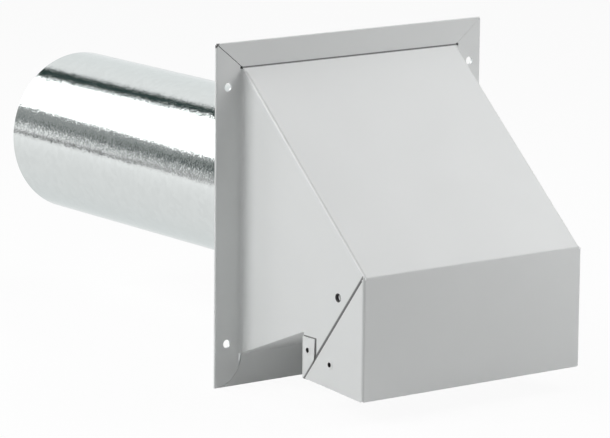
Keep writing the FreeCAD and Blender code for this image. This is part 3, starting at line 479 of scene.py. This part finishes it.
def round_tab(tree, places):
    _, _, depth, height = places
    ahead = soft_step(tree, depth, TAB_FRONT + TAB_AHEAD, TAB_BLUR)
    above = soft_step(tree, height, TAB_TOP + TAB_ABOVE, TAB_BLUR)
    return product(tree, ahead, above, math_node(tree, "GREATER_THAN", depth, TAB_BACK))


def on_face(tree, places, face):
    """The outside of a side sheet, short of the front's fold."""
    _, across, depth, _ = places
    outer = soft_step(tree, across, face + FACE_CLEAR, FACE_BLUR)
    inner = math_node(tree, "GREATER_THAN", across, face - SHEET / 2)
    return product(tree, outer, inner, math_node(tree, "LESS_THAN", depth, HOOD_DEPTH - CORNER_FOLD))


def top_crease(tree, places):
    _, across, depth, height = places
    off_fold = math_node(tree, "ABSOLUTE", math_node(tree, "SUBTRACT", height, TOP_FOLD))
    narrow = soft_step(tree, off_fold, CREASE_HALF, CREASE_BLUR)
    low = soft_step(tree, depth, CREASE_DEPTH, DEPTH_BLUR)
    return product(tree, narrow, low, math_node(tree, "LESS_THAN", across, SIDE))


def open_corner(tree, places):
    x, _, _, height = places
    from_side = math_node(tree, "ADD", x, FLANGE_SIDE)
    from_top = math_node(tree, "SUBTRACT", FLANGE_TOP, height)
    from_corner = math_node(tree, "ADD", from_side, from_top)
    return soft_step(tree, from_corner, OPEN_CORNER, CORNER_BLUR)


def side_folds(tree, places):
    """The outside of the folds between the slope and the sides, where painted light goes."""
    _, across, depth, height = places
    above = left_of_line(tree, depth, height, (0.0, TOP_FOLD), (HOOD_DEPTH, FRONT_TOP))
    at_slope = math_node(tree, "GREATER_THAN", above, -FOLD_BAND)
    at_side = math_node(tree, "GREATER_THAN", across, SIDE - FOLD_BAND)
    within = math_node(tree, "LESS_THAN", across, SIDE + FOLD_CLEAR)
    return product(tree, at_slope, at_side, within, math_node(tree, "GREATER_THAN", depth, FLANGE_CLEAR))


print("open corner: %.1f mm" % OPEN_CORNER)

# %% [markdown]
# ## Paint
# The hood is pre-painted sheet: a cool, light grey white with a satin gloss. One flat colour and one
# roughness would look like plastic. Real paint is never quite even, so its gloss wanders a little, it has
# the fine skin of sprayed paint, and the wide flat panels are very slightly hollow and full, which shows as
# slow changes of light across them. Three noises of different scale give these.

# %% Painted sheet
# Painted shade: the dark tone for the shadow in the gaps along the hood's seam lines
SEAM_SHADE_TONE = (0.12, 0.12, 0.12)
# Painted light: the paler tone on the folds at the slope's sides
FOLD_LIGHT_TONE = (0.89, 0.90, 0.90)
CLOUD_SHADE = 0.975
GLOSS_ROUGH = (0.33, 0.43)
HOLLOW_SCALE, CLOUD_SCALE, SKIN_SCALE = 7.0, 45.0, 1500.0


def painted_sheet(name, colour, seam_face=None, flap_reach=0.0, own_folds=False):
    """Paint. It can have painted shade at the flap's seam on one face, and the hood's own painted shade and
    light.
    """
    material, tree, shader = new_finish(name)
    place = object_place(tree)
    slow = noise_node(tree, place, HOLLOW_SCALE, 2.0)
    cloudy = noise_node(tree, place, CLOUD_SCALE, 3.0)
    skin = noise_node(tree, place, SKIN_SCALE, 2.0)
    tone = mix_colours(tree, cloudy, tuple(c * CLOUD_SHADE for c in colour), colour)
    if seam_face is not None:
        places = hood_places(tree, place)
        seam_shade = behind_flap(tree, places, flap_reach)
        if own_folds:
            seam_shade = math_node(tree, "MAXIMUM", seam_shade, round_tab(tree, places))
        seam_shade = product(tree, seam_shade, on_face(tree, places, seam_face))
        if own_folds:
            seam_shade = math_node(tree, "MAXIMUM", seam_shade, top_crease(tree, places))
            seam_shade = math_node(tree, "MAXIMUM", seam_shade, open_corner(tree, places))
            # Painted light: the paler tone goes on the folds at the slope's sides
            tone = mix_colours(tree, side_folds(tree, places), tone, FOLD_LIGHT_TONE)
        # Painted shade: the dark tone goes where the masks mark the gaps
        tone = mix_colours(tree, seam_shade, tone, SEAM_SHADE_TONE)
    tree.links.new(tone, shader.inputs["Base Color"])
    tree.links.new(range_node(tree, cloudy, *GLOSS_ROUGH), shader.inputs["Roughness"])
    hollow = bump_node(tree, slow, 0.30, 0.0012)
    tree.links.new(bump_node(tree, skin, 0.05, 0.0002, below=hollow), shader.inputs["Normal"])
    shader.inputs["IOR"].default_value = 1.5
    return material


TAB_FACE = 79.7
FLAP_FACE = 80.3
OFF_WHITE = (0.76, 0.775, 0.77)
hood_paint = painted_sheet("hood_paint", OFF_WHITE, SIDE, flap_reach=2.6, own_folds=True)
pan_paint = painted_sheet("pan_paint", OFF_WHITE, TAB_FACE, flap_reach=1.7)
rivet_paint = painted_sheet("rivet_paint", OFF_WHITE)
print("paints:", hood_paint.name, pan_paint.name, rivet_paint.name)

# %% [markdown]
# ## Galvanized sheet
# The pipe, the wall plate and the clips are zinc coated steel. Zinc sets in flat crystals a few millimetres
# wide, each with its own tilt and dullness, and its surface is finely pitted. A noise would give soft clouds,
# but a Voronoi texture gives cells with one value each, as crystals have. The tilt breaks up the edge of
# every reflection into grains, which is what makes the metal read as galvanized and not as chrome. Deep in
# the flange's open mitres the plate behind them lies in shadow, so its zinc has a dark tone there.

# %% Shadow in the mitres
PLATE_MIDDLE = -0.85
MITRE_REACH = 1.6
MITRE_START = 1.5
MITRE_SHADOW = 0.93


def in_mitres(tree, place):
    """1 on the plate's front behind the mitres between the flange's top and side strips, else 0."""
    _, across, depth, height = hood_places(tree, place)
    beside = left_of_line(tree, across, height, (SIDE, TOP_FOLD), (FLANGE_SIDE, FLANGE_TOP))
    near = math_node(tree, "LESS_THAN", math_node(tree, "ABSOLUTE", beside), MITRE_REACH)
    high = math_node(tree, "GREATER_THAN", height, TOP_FOLD - MITRE_START)
    return product(tree, near, high, math_node(tree, "GREATER_THAN", depth, PLATE_MIDDLE))


print("mitre: %.1f mm long" % math.hypot(FLANGE_SIDE - SIDE, FLANGE_TOP - TOP_FOLD))

# %% Galvanized sheet
CRYSTAL_SCALE, PIT_SCALE, DRIFT_SCALE = 260.0, 900.0, 18.0
CRYSTAL_SHADE = (0.965, 1.0)
OWN_SHARE, DRIFT_SHARE = 0.6, 0.4


def galvanized(name, colour, rough, pitting, tilt, grain_scale=1000.0, dark_mitres=False):
    """Zinc: rough is the range from bright to dull crystals, and tilt is how far the grains lean."""
    material, tree, shader = new_finish(name)
    place = object_place(tree)
    crystals = add_node(tree, "ShaderNodeTexVoronoi", Scale=CRYSTAL_SCALE, Randomness=1.0)
    tree.links.new(place, crystals.inputs["Vector"])
    crystal = tree.nodes.new("ShaderNodeSeparateColor")
    tree.links.new(crystals.outputs["Color"], crystal.inputs[0])
    level = range_node(tree, crystal.outputs[0], *CRYSTAL_SHADE)
    if dark_mitres:
        shadow = math_node(tree, "MULTIPLY", in_mitres(tree, place), MITRE_SHADOW)
        level = math_node(tree, "MULTIPLY", level, math_node(tree, "SUBTRACT", 1.0, shadow))
    tint = tree.nodes.new("ShaderNodeVectorMath")
    tint.operation = "SCALE"
    tint.inputs[0].default_value = colour
    tree.links.new(level, tint.inputs["Scale"])
    tree.links.new(tint.outputs[0], shader.inputs["Base Color"])
    shader.inputs["Metallic"].default_value = 1.0
    shader.inputs["Specular Tint"].default_value = (0.82, 0.85, 0.85, 1)

    # Dullness: most of it is a crystal's own, and the rest drifts over the sheet
    own = math_node(tree, "MULTIPLY", crystal.outputs[1], OWN_SHARE)
    drift = math_node(tree, "MULTIPLY", noise_node(tree, place, DRIFT_SCALE, 2.0), DRIFT_SHARE)
    dull = range_node(tree, math_node(tree, "ADD", own, drift), *rough)
    tree.links.new(dull, shader.inputs["Roughness"])

    # Each grain's face leans its own way
    grains = add_node(tree, "ShaderNodeTexVoronoi", Scale=grain_scale, Randomness=1.0)
    tree.links.new(place, grains.inputs["Vector"])
    lean = tree.nodes.new("ShaderNodeVectorMath")
    lean.operation = "MULTIPLY_ADD"
    lean.inputs[1].default_value = (tilt, tilt, tilt)
    lean.inputs[2].default_value = (-tilt / 2, -tilt / 2, -tilt / 2)
    tree.links.new(grains.outputs["Color"], lean.inputs[0])
    leaning = tree.nodes.new("ShaderNodeVectorMath")
    tree.links.new(tree.nodes.new("ShaderNodeNewGeometry").outputs["Normal"], leaning.inputs[0])
    tree.links.new(lean.outputs[0], leaning.inputs[1])
    pits = noise_node(tree, place, PIT_SCALE, 3.0, roughness=0.6)
    pitted = bump_node(tree, pits, pitting, 0.0004, below=leaning.outputs[0])
    tree.links.new(pitted, shader.inputs["Normal"])
    return material


PIPE_COLOUR = (0.68, 0.705, 0.70)
PLATE_COLOUR = (0.70, 0.72, 0.725)
pipe_zinc = galvanized("pipe_zinc", PIPE_COLOUR, (0.07, 0.12), 0.08, 0.05, grain_scale=1350.0)
wall_zinc = galvanized("wall_zinc", PLATE_COLOUR, (0.24, 0.36), 0.20, 0.08, dark_mitres=True)
plate_zinc = galvanized("plate_zinc", PLATE_COLOUR, (0.24, 0.36), 0.20, 0.08)
print("zinc:", pipe_zinc.name, wall_zinc.name, plate_zinc.name)

# %% [markdown]
# ## Small finishes
# The damper is mill finished aluminium, with fine lines left by the rolls. The rod and its spring are bright
# steel wire, and the rod's sawn ends get a pale finish of their own, which is partly painted light. The
# bushes are moulded black plastic, whose black is also painted shade in the bores. The clips' rivets are soft
# aluminium, the broken mandrel stubs in the side rivets are dull, near black steel, which is also painted
# shade deep in the rivets' holes, and the two strips are black foam. One recipe serves for all the bare
# metals, because they differ only in colour, dullness and the way that their marks run.

# %% Small finishes
EVEN = (1.0, 1.0, 1.0)


def rolled_metal(name, colour, rough, stretch, line_scale, depth, metallic=1.0):
    """Metal with fine lines. The noise is squeezed across the lines and stretched along them."""
    material, tree, shader = new_finish(name)
    turn = tree.nodes.new("ShaderNodeMapping")
    turn.inputs["Scale"].default_value = stretch
    tree.links.new(object_place(tree), turn.inputs["Vector"])
    lines = noise_node(tree, turn.outputs[0], line_scale, 3.0)
    shader.inputs["Base Color"].default_value = (*colour, 1)
    shader.inputs["Metallic"].default_value = metallic
    dull = range_node(tree, lines, rough * 0.8, rough * 1.25)
    tree.links.new(dull, shader.inputs["Roughness"])
    tree.links.new(bump_node(tree, lines, depth, 0.0002), shader.inputs["Normal"])
    return material


def moulded_plastic(name, colour):
    material, tree, shader = new_finish(name)
    grain = noise_node(tree, object_place(tree), 2200.0, 2.0)
    shader.inputs["Base Color"].default_value = (*colour, 1)
    shader.inputs["Roughness"].default_value = 0.5
    tree.links.new(bump_node(tree, grain, 0.12, 0.0001), shader.inputs["Normal"])
    return material


def open_foam(name, colour):
    material, tree, shader = new_finish(name)
    cells = add_node(tree, "ShaderNodeTexVoronoi", Scale=1100.0)
    tree.links.new(object_place(tree), cells.inputs["Vector"])
    in_cell = tuple(c * 0.35 for c in colour)
    tone = ramp_node(tree, cells.outputs["Distance"], [(0.0, in_cell), (0.6, colour)])
    tree.links.new(tone, shader.inputs["Base Color"])
    shader.inputs["Roughness"].default_value = 0.95
    tree.links.new(bump_node(tree, cells.outputs["Distance"], 0.6, 0.0005), shader.inputs["Normal"])
    return material


mill_aluminium = rolled_metal("mill_aluminium", (0.80, 0.81, 0.82), 0.30, (1.0, 40.0, 40.0), 25.0, 0.10)
rivet_aluminium = rolled_metal("rivet_aluminium", (0.66, 0.67, 0.68), 0.34, EVEN, 900.0, 0.12)
bright_steel = rolled_metal("bright_steel", (0.62, 0.61, 0.59), 0.22, (1.0, 30.0, 30.0), 60.0, 0.08)
# Sawn steel made near white and half metallic: painted light, for the rod ends deep in their holes
sawn_end_light = rolled_metal("sawn_end_light", (0.92, 0.93, 0.93), 0.60, EVEN, 2500.0, 0.10, metallic=0.25)
spring_wire = rolled_metal("spring_wire", (0.42, 0.42, 0.41), 0.28, EVEN, 1200.0, 0.08)
# Near black steel: a real stub, and also painted shade deep in the rivets' mandrel holes
stub_shade_steel = rolled_metal("stub_shade_steel", (0.10, 0.10, 0.10), 0.55, EVEN, 1500.0, 0.30)
# Black plastic, whose black is also painted shade in the bores
bush_black_shade = moulded_plastic("bush_black_shade", (0.035, 0.035, 0.036))
black_foam = open_foam("black_foam", (0.045, 0.045, 0.047))
print("finishes:", len(bpy.data.materials))

# %% [markdown]
# ## Modelling helpers
# Round pieces are turned, as on a lathe: one vertex is drawn out along half of the piece's section, and the
# section is spun round its axis. A cylinder with cuts would need more steps for each shoulder and bevel. All
# sizes are millimetres, and `MM` turns them into metres.

# %% Modelling helpers
JOIN_BELOW = 0.002


def edit(piece):
    """Edit mode on one piece, with nothing selected in it."""
    bpy.ops.object.select_all(action="DESELECT")
    piece.select_set(True)
    bpy.context.view_layer.objects.active = piece
    bpy.ops.object.mode_set(mode="EDIT")
    bpy.ops.mesh.select_all(action="DESELECT")


def done():
    bpy.ops.object.mode_set(mode="OBJECT")


def draw_out(name, points):
    """An open chain of edges: a vertex set on the first point and drawn out to each of the others."""
    bpy.ops.object.select_all(action="DESELECT")
    bpy.ops.mesh.primitive_plane_add(size=MM, location=(0, 0, 0))
    piece = bpy.context.active_object
    piece.name = piece.data.name = name
    bpy.ops.object.mode_set(mode="EDIT")
    bpy.ops.mesh.merge(type="CENTER")
    spots = [Vector(point) * MM for point in points]
    bpy.ops.transform.translate(value=spots[0])
    for here, there in zip(spots, spots[1:]):
        bpy.ops.mesh.extrude_vertices_move(TRANSFORM_OT_translate={"value": there - here})
    done()
    return piece


def close_up(piece, smooth_below=35):
    """Merge what meets, turn the faces outwards and smooth what isn't an edge."""
    edit(piece)
    bpy.ops.mesh.select_all(action="SELECT")
    bpy.ops.mesh.remove_doubles(threshold=JOIN_BELOW * MM)
    bpy.ops.mesh.normals_make_consistent(inside=False)
    done()
    bpy.ops.object.shade_smooth_by_angle(angle=math.radians(smooth_below))
    return piece


def turned(name, section, axis, centre, steps):
    """The closed section spun round an axis through the centre."""
    piece = draw_out(name, section + section[:1])
    edit(piece)
    bpy.ops.mesh.select_all(action="SELECT")
    bpy.ops.mesh.spin(steps=steps, angle=math.tau, center=Vector(centre) * MM, axis=axis)
    done()
    return close_up(piece)


def arc(centre_u, centre_v, radius, start, stop, steps):
    """Points on an arc, from one angle to another in degrees."""
    angles = [math.radians(start + (stop - start) * i / steps) for i in range(steps + 1)]
    return [(centre_u + radius * math.cos(a), centre_v + radius * math.sin(a)) for a in angles]


def settle(piece, turn=0.0, spot=(0, 0, 0)):
    """Turn a piece about X, move it, and put the place into its mesh."""
    bpy.ops.object.select_all(action="DESELECT")
    piece.select_set(True)
    bpy.context.view_layer.objects.active = piece
    piece.rotation_euler = (turn, 0, 0)
    piece.location = Vector(spot) * MM
    bpy.ops.object.transform_apply(location=True, rotation=True, scale=True)
    return piece


def copy_of(piece, name):
    bpy.ops.object.select_all(action="DESELECT")
    piece.select_set(True)
    bpy.context.view_layer.objects.active = piece
    bpy.ops.object.duplicate()
    twin = bpy.context.active_object
    twin.name = twin.data.name = name
    return twin


def other_side(piece, name):
    """The piece's mirror image, for the cap's right side."""
    twin = copy_of(piece, name)
    twin.scale = (-1, 1, 1)
    settle(twin)
    return close_up(twin)


def attach(piece, body, slot, material, *stands_for):
    if material is not None:
        piece.data.materials.clear()
        piece.data.materials.append(material)
    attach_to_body(piece, body)
    if stands_for:
        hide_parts(*stands_for)
    return piece


print("modelling helpers ready")

# %% [markdown]
# ## Tail pipe
# One sheet, rolled into a 4 inch pipe. A bead and a rim turned out in front grip the wall plate between them.
# A cylinder thickened by a modifier would lack both, so the wall's whole section is drawn once and spun. The
# lock seam runs along the side that faces away from the view, as a low bar with rounded edges.

# %% Tail pipe
PIPE = 50.8
PIPE_WALL = 0.45
PIPE_END = 287.0
PIPE_STEPS = 192
BEAD = 2.0
BEAD_MIDDLE = 1.45
BEAD_STEPS = 12
BEAD_EASE = 0.2
RIM_FRONT = -1.65
RIM_REACH = 4.0
RIM_EASE_BACK, RIM_EASE_FRONT = 0.3, 0.5
LOCK_HALF = 2.5
LOCK_TOP = 50.94
LOCK_ROOT = 0.1
CUT_EDGE = 0.12


def lock_seam(inner):
    """A bar from just behind the bead to the pipe's end, sunk into the wall."""
    start, stop = BEAD_MIDDLE + BEAD + BEAD_EASE, PIPE_END - CUT_EDGE
    low = inner + LOCK_ROOT
    bpy.ops.object.select_all(action="DESELECT")
    bpy.ops.mesh.primitive_cube_add(
        size=1,
        location=Vector(((low + LOCK_TOP) / 2, (start + stop) / 2, 0)) * MM,
        scale=Vector((LOCK_TOP - low, stop - start, LOCK_HALF * 2)) * MM,
    )
    lock = bpy.context.active_object
    lock.name = "lock_seam"
    bpy.ops.object.transform_apply(location=True, rotation=True, scale=True)
    edit(lock)
    bpy.ops.mesh.select_all(action="SELECT")
    bpy.ops.mesh.bevel(offset=CUT_EDGE * MM, segments=3)
    done()
    bpy.ops.object.shade_smooth_by_angle(angle=math.radians(35))
    return lock


def tail_pipe():
    inner = PIPE - PIPE_WALL
    bead_in = BEAD - PIPE_WALL
    rim_back = RIM_FRONT + PIPE_WALL
    section = [(PIPE_END, inner + CUT_EDGE), (PIPE_END, PIPE - CUT_EDGE), (PIPE_END - CUT_EDGE, PIPE)]
    section += arc(BEAD_MIDDLE, PIPE, BEAD, 0, 180, BEAD_STEPS)
    section += [
        (rim_back, PIPE + RIM_EASE_BACK),
        (rim_back, PIPE + RIM_REACH),
        (RIM_FRONT, PIPE + RIM_REACH),
        (RIM_FRONT, inner + RIM_EASE_FRONT),
        (RIM_FRONT + RIM_EASE_FRONT, inner),
    ]
    section += arc(BEAD_MIDDLE, PIPE, bead_in, 180, 0, BEAD_STEPS)
    section += [(BEAD_MIDDLE + bead_in + BEAD_EASE, inner), (PIPE_END - CUT_EDGE, inner)]
    points = [(0, y, radius) for y, radius in section]
    pipe = turned("tail_pipe", points, (0, 1, 0), (0, 0, 0), PIPE_STEPS)

    lock_seam(inner)
    pipe.select_set(True)
    bpy.context.view_layer.objects.active = pipe
    bpy.ops.object.join()
    return attach(pipe, "cap", "galvanized_sheet", pipe_zinc, "duct_pipe")


print("pipe:", len(tail_pipe().data.polygons), "faces")

# %% [markdown]
# ## Side rivets
# Blind rivets, painted with the hood. What shows is a low head with a dark hole where the mandrel broke off.
# A flattened sphere would do for the head alone, but the shank and the swollen tail belong to the same
# piece, so the whole section is spun. One rivet of each pair is turned, and the other is its mirror image.

# %% Side rivets
RIVET_HEAD = 3.2
RIVET_SHANK = 2.0
RIVET_CORE = 1.45
RIVET_DOME = 0.55
DOME_STEPS = 6
STUB_TIP, STUB_ROOT = 0.9, 1.3
RIVET_TAIL = 2.7
TAIL_LENGTH = 2.2
TAIL_EDGE = 0.3


def side_rivet(name, face, depth, height):
    """A rivet on the left side, with its head on the given face."""
    inside = SIDE - SHEET
    dome = []
    for i in range(DOME_STEPS + 1):
        radius = RIVET_CORE + (RIVET_HEAD - RIVET_CORE) * i / DOME_STEPS
        dome.append((face + RIVET_DOME * (1 - (radius / RIVET_HEAD) ** 2), radius))
    stub = [(face - STUB_TIP, 0), (face - STUB_ROOT, RIVET_CORE * 0.6), (face - STUB_ROOT, RIVET_CORE)]
    section = stub + dome + [
        (face, RIVET_SHANK),
        (inside, RIVET_SHANK),
        (inside, RIVET_TAIL * 0.9),
        (inside - TAIL_EDGE, RIVET_TAIL),
        (inside - TAIL_LENGTH * 0.7, RIVET_TAIL),
        (inside - TAIL_LENGTH * 0.95, RIVET_SHANK),
        (inside - TAIL_LENGTH, RIVET_SHANK * 0.8),
        (inside - TAIL_LENGTH, 0),
    ]
    y = -FLANGE_FACE - depth
    points = [(-x, y, height + radius) for x, radius in section]
    rivet = turned(name, points, (1, 0, 0), (0, y, height), 48)
    rivet.data.materials.append(rivet_paint)
    rivet.data.materials.append(stub_shade_steel)
    middle = Vector((0, y, height)) * MM
    # The stub and the hole's wall take the near black steel, which is painted shade in the hole
    for face_of_rivet in rivet.data.polygons:
        away = face_of_rivet.center - middle
        if math.hypot(away.y, away.z) < RIVET_CORE * MM and away.x < -inside * MM:
            face_of_rivet.material_index = 1
    return rivet


for node, face, depth, height in (
    ("tab_rivets", TAB_FACE, 66.0, -68.4),
    ("flap_rivets", FLAP_FACE, 87.6, -72.8),
):
    left = side_rivet("left_" + node[:-1], face, depth, height)
    for rivet in (left, other_side(left, "right_" + node[:-1])):
        attach(rivet, "cap", "rivets", None, node)

# %% [markdown]
# ## Rod and bushes
# The damper's rod ends a little inside the hood's outer faces. Each end turns in a flanged bush, whose barrel
# fills the hole in the side and whose black is also painted shade in the bore. Both are turned, with small
# bevels that catch the light as real edges do. The rod's sawn ends get a pale finish of their own, partly
# painted light, so that in the hole they show as a light dot.

# %% Bushes
PIVOT = Vector((0, -94.85, -33.0))
BUSH_BORE, BUSH_BARREL = 2.08, 2.6
BUSH_FLANGE, BUSH_FLANGE_THICK = 5.0, 1.0
BUSH_COLLAR, BUSH_INSIDE = 3.6, 2.15
BUSH_BEVEL = 0.15
BUSH_FILLET = 0.2
BORE_BEVEL = 0.1


def flanged_bush():
    wall = SIDE - SHEET
    flange_end, collar_end = wall - BUSH_FLANGE_THICK, wall - BUSH_INSIDE
    section = [
        (SIDE - BORE_BEVEL, BUSH_BORE),
        (SIDE, BUSH_BORE + BORE_BEVEL),
        (SIDE, BUSH_BARREL),
        (wall, BUSH_BARREL),
        (wall, BUSH_FLANGE - BUSH_BEVEL),
        (wall - BUSH_BEVEL, BUSH_FLANGE),
        (flange_end + BUSH_BEVEL, BUSH_FLANGE),
        (flange_end, BUSH_FLANGE - BUSH_BEVEL),
        (flange_end, BUSH_COLLAR + BUSH_FILLET),
        (flange_end - BUSH_FILLET, BUSH_COLLAR),
        (collar_end + BUSH_BEVEL, BUSH_COLLAR),
        (collar_end, BUSH_COLLAR - BUSH_BEVEL),
        (collar_end, BUSH_BORE + BUSH_BEVEL),
        (collar_end + BUSH_BEVEL, BUSH_BORE),
    ]
    points = [(-x, PIVOT.y, PIVOT.z + radius) for x, radius in section]
    return turned("left_bush", points, (1, 0, 0), PIVOT, 64)


left_bush = flanged_bush()
right_bush = other_side(left_bush, "right_bush")
attach(left_bush, "cap", "bush_plastic", bush_black_shade, "left_rod_bush")
attach(right_bush, "cap", "bush_plastic", bush_black_shade, "right_rod_bush")
print("bushes:", left_bush.name, right_bush.name)

# %% Rod
ROD = 2.0
ROD_END = 77.5
ROD_BEVEL = 0.3


def damper_rod():
    section = [
        (-ROD_END, 0),
        (-ROD_END, ROD - ROD_BEVEL),
        (-ROD_END + ROD_BEVEL, ROD),
        (ROD_END - ROD_BEVEL, ROD),
        (ROD_END, ROD - ROD_BEVEL),
        (ROD_END, 0),
    ]
    points = [(x, PIVOT.y, PIVOT.z + radius) for x, radius in section]
    rod = turned("bright_rod", points, (1, 0, 0), PIVOT, 48)
    rod.data.materials.append(bright_steel)
    rod.data.materials.append(sawn_end_light)
    # The end faces take the pale finish, which is painted light deep in the holes
    for face in rod.data.polygons:
        if abs(face.normal.x) > 0.5:
            face.material_index = 1
    return attach(rod, "damper", "rod_steel", None, "damper_rod")


print("rod:", damper_rod().name)

# %% [markdown]
# ## Clip rivets
# Four small rivets hold the two saddle clips on the damper. Each could be turned in its place, but one that
# is turned upright on the rod's axis and copied is simpler. The copies are then moved to where the shut
# damper hangs: its lip rests on the foam strip below, and its plate passes just behind the rod, so it leans.

# %% Clip rivets
PLY_SPACE = 0.05
DAMPER_SHEET = 0.5
PLATE_BACK = ROD + DAMPER_SHEET
SEAL_FACE = 63.95
LIP_HEIGHT = -74.0
lip_reach = -PIVOT.y - FLANGE_FACE - SEAL_FACE
drop = PIVOT.z - LIP_HEIGHT
SHUT = math.atan2(lip_reach, drop) - math.asin(PLATE_BACK / math.hypot(lip_reach, drop))
CLIP_SPREAD = 45.0
CLIP_SHEET = 0.8
CLIP_FOOT = ROD + PLY_SPACE + CLIP_SHEET + 4.0
CLIP_HEAD, CLIP_DOME = 2.4, 0.9
CLIP_SHANK = 1.2
CLIP_TAIL, CLIP_TAIL_EDGE = 1.8, 1.3
CLIP_TAIL_ROUND, CLIP_TAIL_LENGTH = 0.9, 1.2
QUARTER_STEPS = 6


def clip_rivet():
    front = ROD - CLIP_SHEET
    quarter = [math.pi / 2 * i / QUARTER_STEPS for i in range(QUARTER_STEPS + 1)]
    section = [(front - CLIP_DOME * math.cos(a), CLIP_HEAD * math.sin(a)) for a in quarter]
    section += [(front, CLIP_SHANK), (PLATE_BACK, CLIP_SHANK), (PLATE_BACK, CLIP_TAIL)]
    section += [(PLATE_BACK + CLIP_TAIL_ROUND, CLIP_TAIL), (PLATE_BACK + CLIP_TAIL_LENGTH, CLIP_TAIL_EDGE)]
    section += [(PLATE_BACK + CLIP_TAIL_LENGTH, 0)]
    points = [(0, y, radius) for y, radius in section]
    return turned("clip_rivet", points, (0, 1, 0), (0, 0, 0), 32)


first = clip_rivet()
for side, x in (("left", -CLIP_SPREAD), ("right", CLIP_SPREAD)):
    for end, z in (("upper", CLIP_FOOT), ("lower", -CLIP_FOOT)):
        rivet = settle(copy_of(first, side + "_" + end + "_clip_rivet"), spot=(x, 0, z))
        settle(rivet, turn=SHUT, spot=PIVOT)
        attach(rivet, "damper", "rivets", rivet_aluminium, "clip_rivets")
bpy.data.objects.remove(first)
print("shut damper leans %.2f degrees" % math.degrees(SHUT))

# %% [markdown]
# ## Spring
# A torsion spring of 1 mm wire. One leg presses on the front panel, the coil is wound round the rod and the
# other leg lies on the damper. A screw modifier would make the coil alone, and its legs would have to be
# joined on. So the wire's whole middle line is drawn first, with the legs leaving the coil straight on, and
# then it is given its thickness as a curve.

# %% Spring
WIRE = 0.5
COIL = ROD + 0.35 + WIRE
PITCH = 1.15
FULL_TURNS = 6
COIL_END = -72.45
LEG_ON_PLATE = ROD - WIRE - PLY_SPACE
LEG_BEND = -9.0
LEG_LENGTH = 26.0
PANEL_BACK = HOOD_DEPTH - SHEET
PANEL_SPACE = 0.2
STEPS_PER_TURN = 24


def damper_spring():
    leave = math.atan2(LEG_BEND, LEG_ON_PLATE) + math.acos(COIL / math.hypot(LEG_BEND, LEG_ON_PLATE))
    turns = FULL_TURNS + (math.pi / 2 - leave) / math.tau
    start_x = COIL_END + turns * PITCH
    steps = round(turns * STEPS_PER_TURN)

    # The front leg: straight from the top of the coil to the front panel
    lean = Matrix.Rotation(SHUT, 3, "X")
    top = Vector((start_x, 0, COIL))
    forward = Vector((0, -1, 0))
    room = PANEL_BACK + FLANGE_FACE + PIVOT.y - PANEL_SPACE - WIRE
    reach = (room + (lean @ top).y) / -(lean @ forward).y
    path = [top + forward * reach]
    for i in range(steps + 1):
        angle = math.pi / 2 - i / steps * turns * math.tau
        x = start_x - i / steps * turns * PITCH
        path.append((x, COIL * math.cos(angle), COIL * math.sin(angle)))
    path += [(COIL_END, LEG_ON_PLATE, LEG_BEND), (COIL_END, LEG_ON_PLATE, -LEG_LENGTH)]
    spring = draw_out("coil_spring", path)
    bpy.ops.object.convert(target="CURVE")
    spring.data.bevel_depth = WIRE * MM
    spring.data.bevel_resolution = 3
    spring.data.use_fill_caps = True
    bpy.ops.object.convert(target="MESH")
    settle(spring, turn=SHUT, spot=PIVOT)
    close_up(spring, 60)
    return attach(spring, "damper", "spring_steel", spring_wire, "damper_spring")


print("spring:", len(damper_spring().data.polygons), "faces")

# %% [markdown]
# ## Foam strips
# A strip could be a new cube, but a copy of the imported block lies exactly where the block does. Its edges are
# rounded, it is divided along its length, and its long faces are pulled in by small, seeded amounts, because
# die cut foam is never straight.

# %% Foam strips
FOAM_ROUND = 0.5
FOAM_CUTS = 59
FOAM_PULL = 0.12
FOAM_END = 1.0
LONG_EDGE = 100.0


def foam_strip(name, node, seed):
    strip = copy_of(nodes[node], name)
    for key in list(strip.keys()):
        del strip[key]
    edit(strip)
    bpy.ops.mesh.select_all(action="SELECT")
    bpy.ops.mesh.remove_doubles(threshold=JOIN_BELOW * MM)
    bpy.ops.mesh.tris_convert_to_quads()
    bpy.ops.mesh.bevel(offset=FOAM_ROUND * MM, segments=3)
    # Only the long edges are divided, so edges and not vertices are what is selected
    bpy.ops.mesh.select_mode(type="EDGE")
    bpy.ops.mesh.select_all(action="DESELECT")
    done()
    for edge in strip.data.edges:
        a, b = (strip.data.vertices[i].co for i in edge.vertices)
        edge.select = abs(a.x - b.x) > LONG_EDGE * MM
    bpy.ops.object.mode_set(mode="EDIT")
    bpy.ops.mesh.subdivide(number_cuts=FOAM_CUTS)
    bpy.ops.mesh.select_mode(type="VERT")
    done()
    print(name, len(strip.data.polygons), "faces")
    low, high = (Vector(corner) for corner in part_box(node))
    middle = (low + high) / 2
    shrink = random.Random(seed)
    for vertex in strip.data.vertices:
        if abs(vertex.co.x) < high.x - FOAM_END * MM:
            away = Vector((0, vertex.co.y - middle.y, vertex.co.z - middle.z))
            vertex.co -= away.normalized() * shrink.uniform(0.0, FOAM_PULL) * MM
    bpy.ops.object.shade_smooth_by_angle(angle=math.radians(50))
    return attach(strip, "cap", "foam", black_foam, node)


lower_foam = foam_strip("lower_foam", "lower_seal", 3)
upper_foam = foam_strip("upper_foam", "upper_seal", 5)
print("foam:", lower_foam.name, upper_foam.name)

# %% [markdown]
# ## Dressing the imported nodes
# The nodes whose shape is already right keep it and only get a finish. Modelling the folded sheets again
# would add nothing, because their bends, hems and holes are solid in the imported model.


# %% Finishes on the nodes
def dress(node, material):
    mesh = nodes[node].data
    mesh.materials.clear()
    mesh.materials.append(material)


for node, material in {
    "hood_shell": hood_paint,
    "bottom_pan": pan_paint,
    "wall_plate": wall_zinc,
    "damper_plate": mill_aluminium,
    "left_rod_clip": plate_zinc,
    "right_rod_clip": plate_zinc,
}.items():
    dress(node, material)
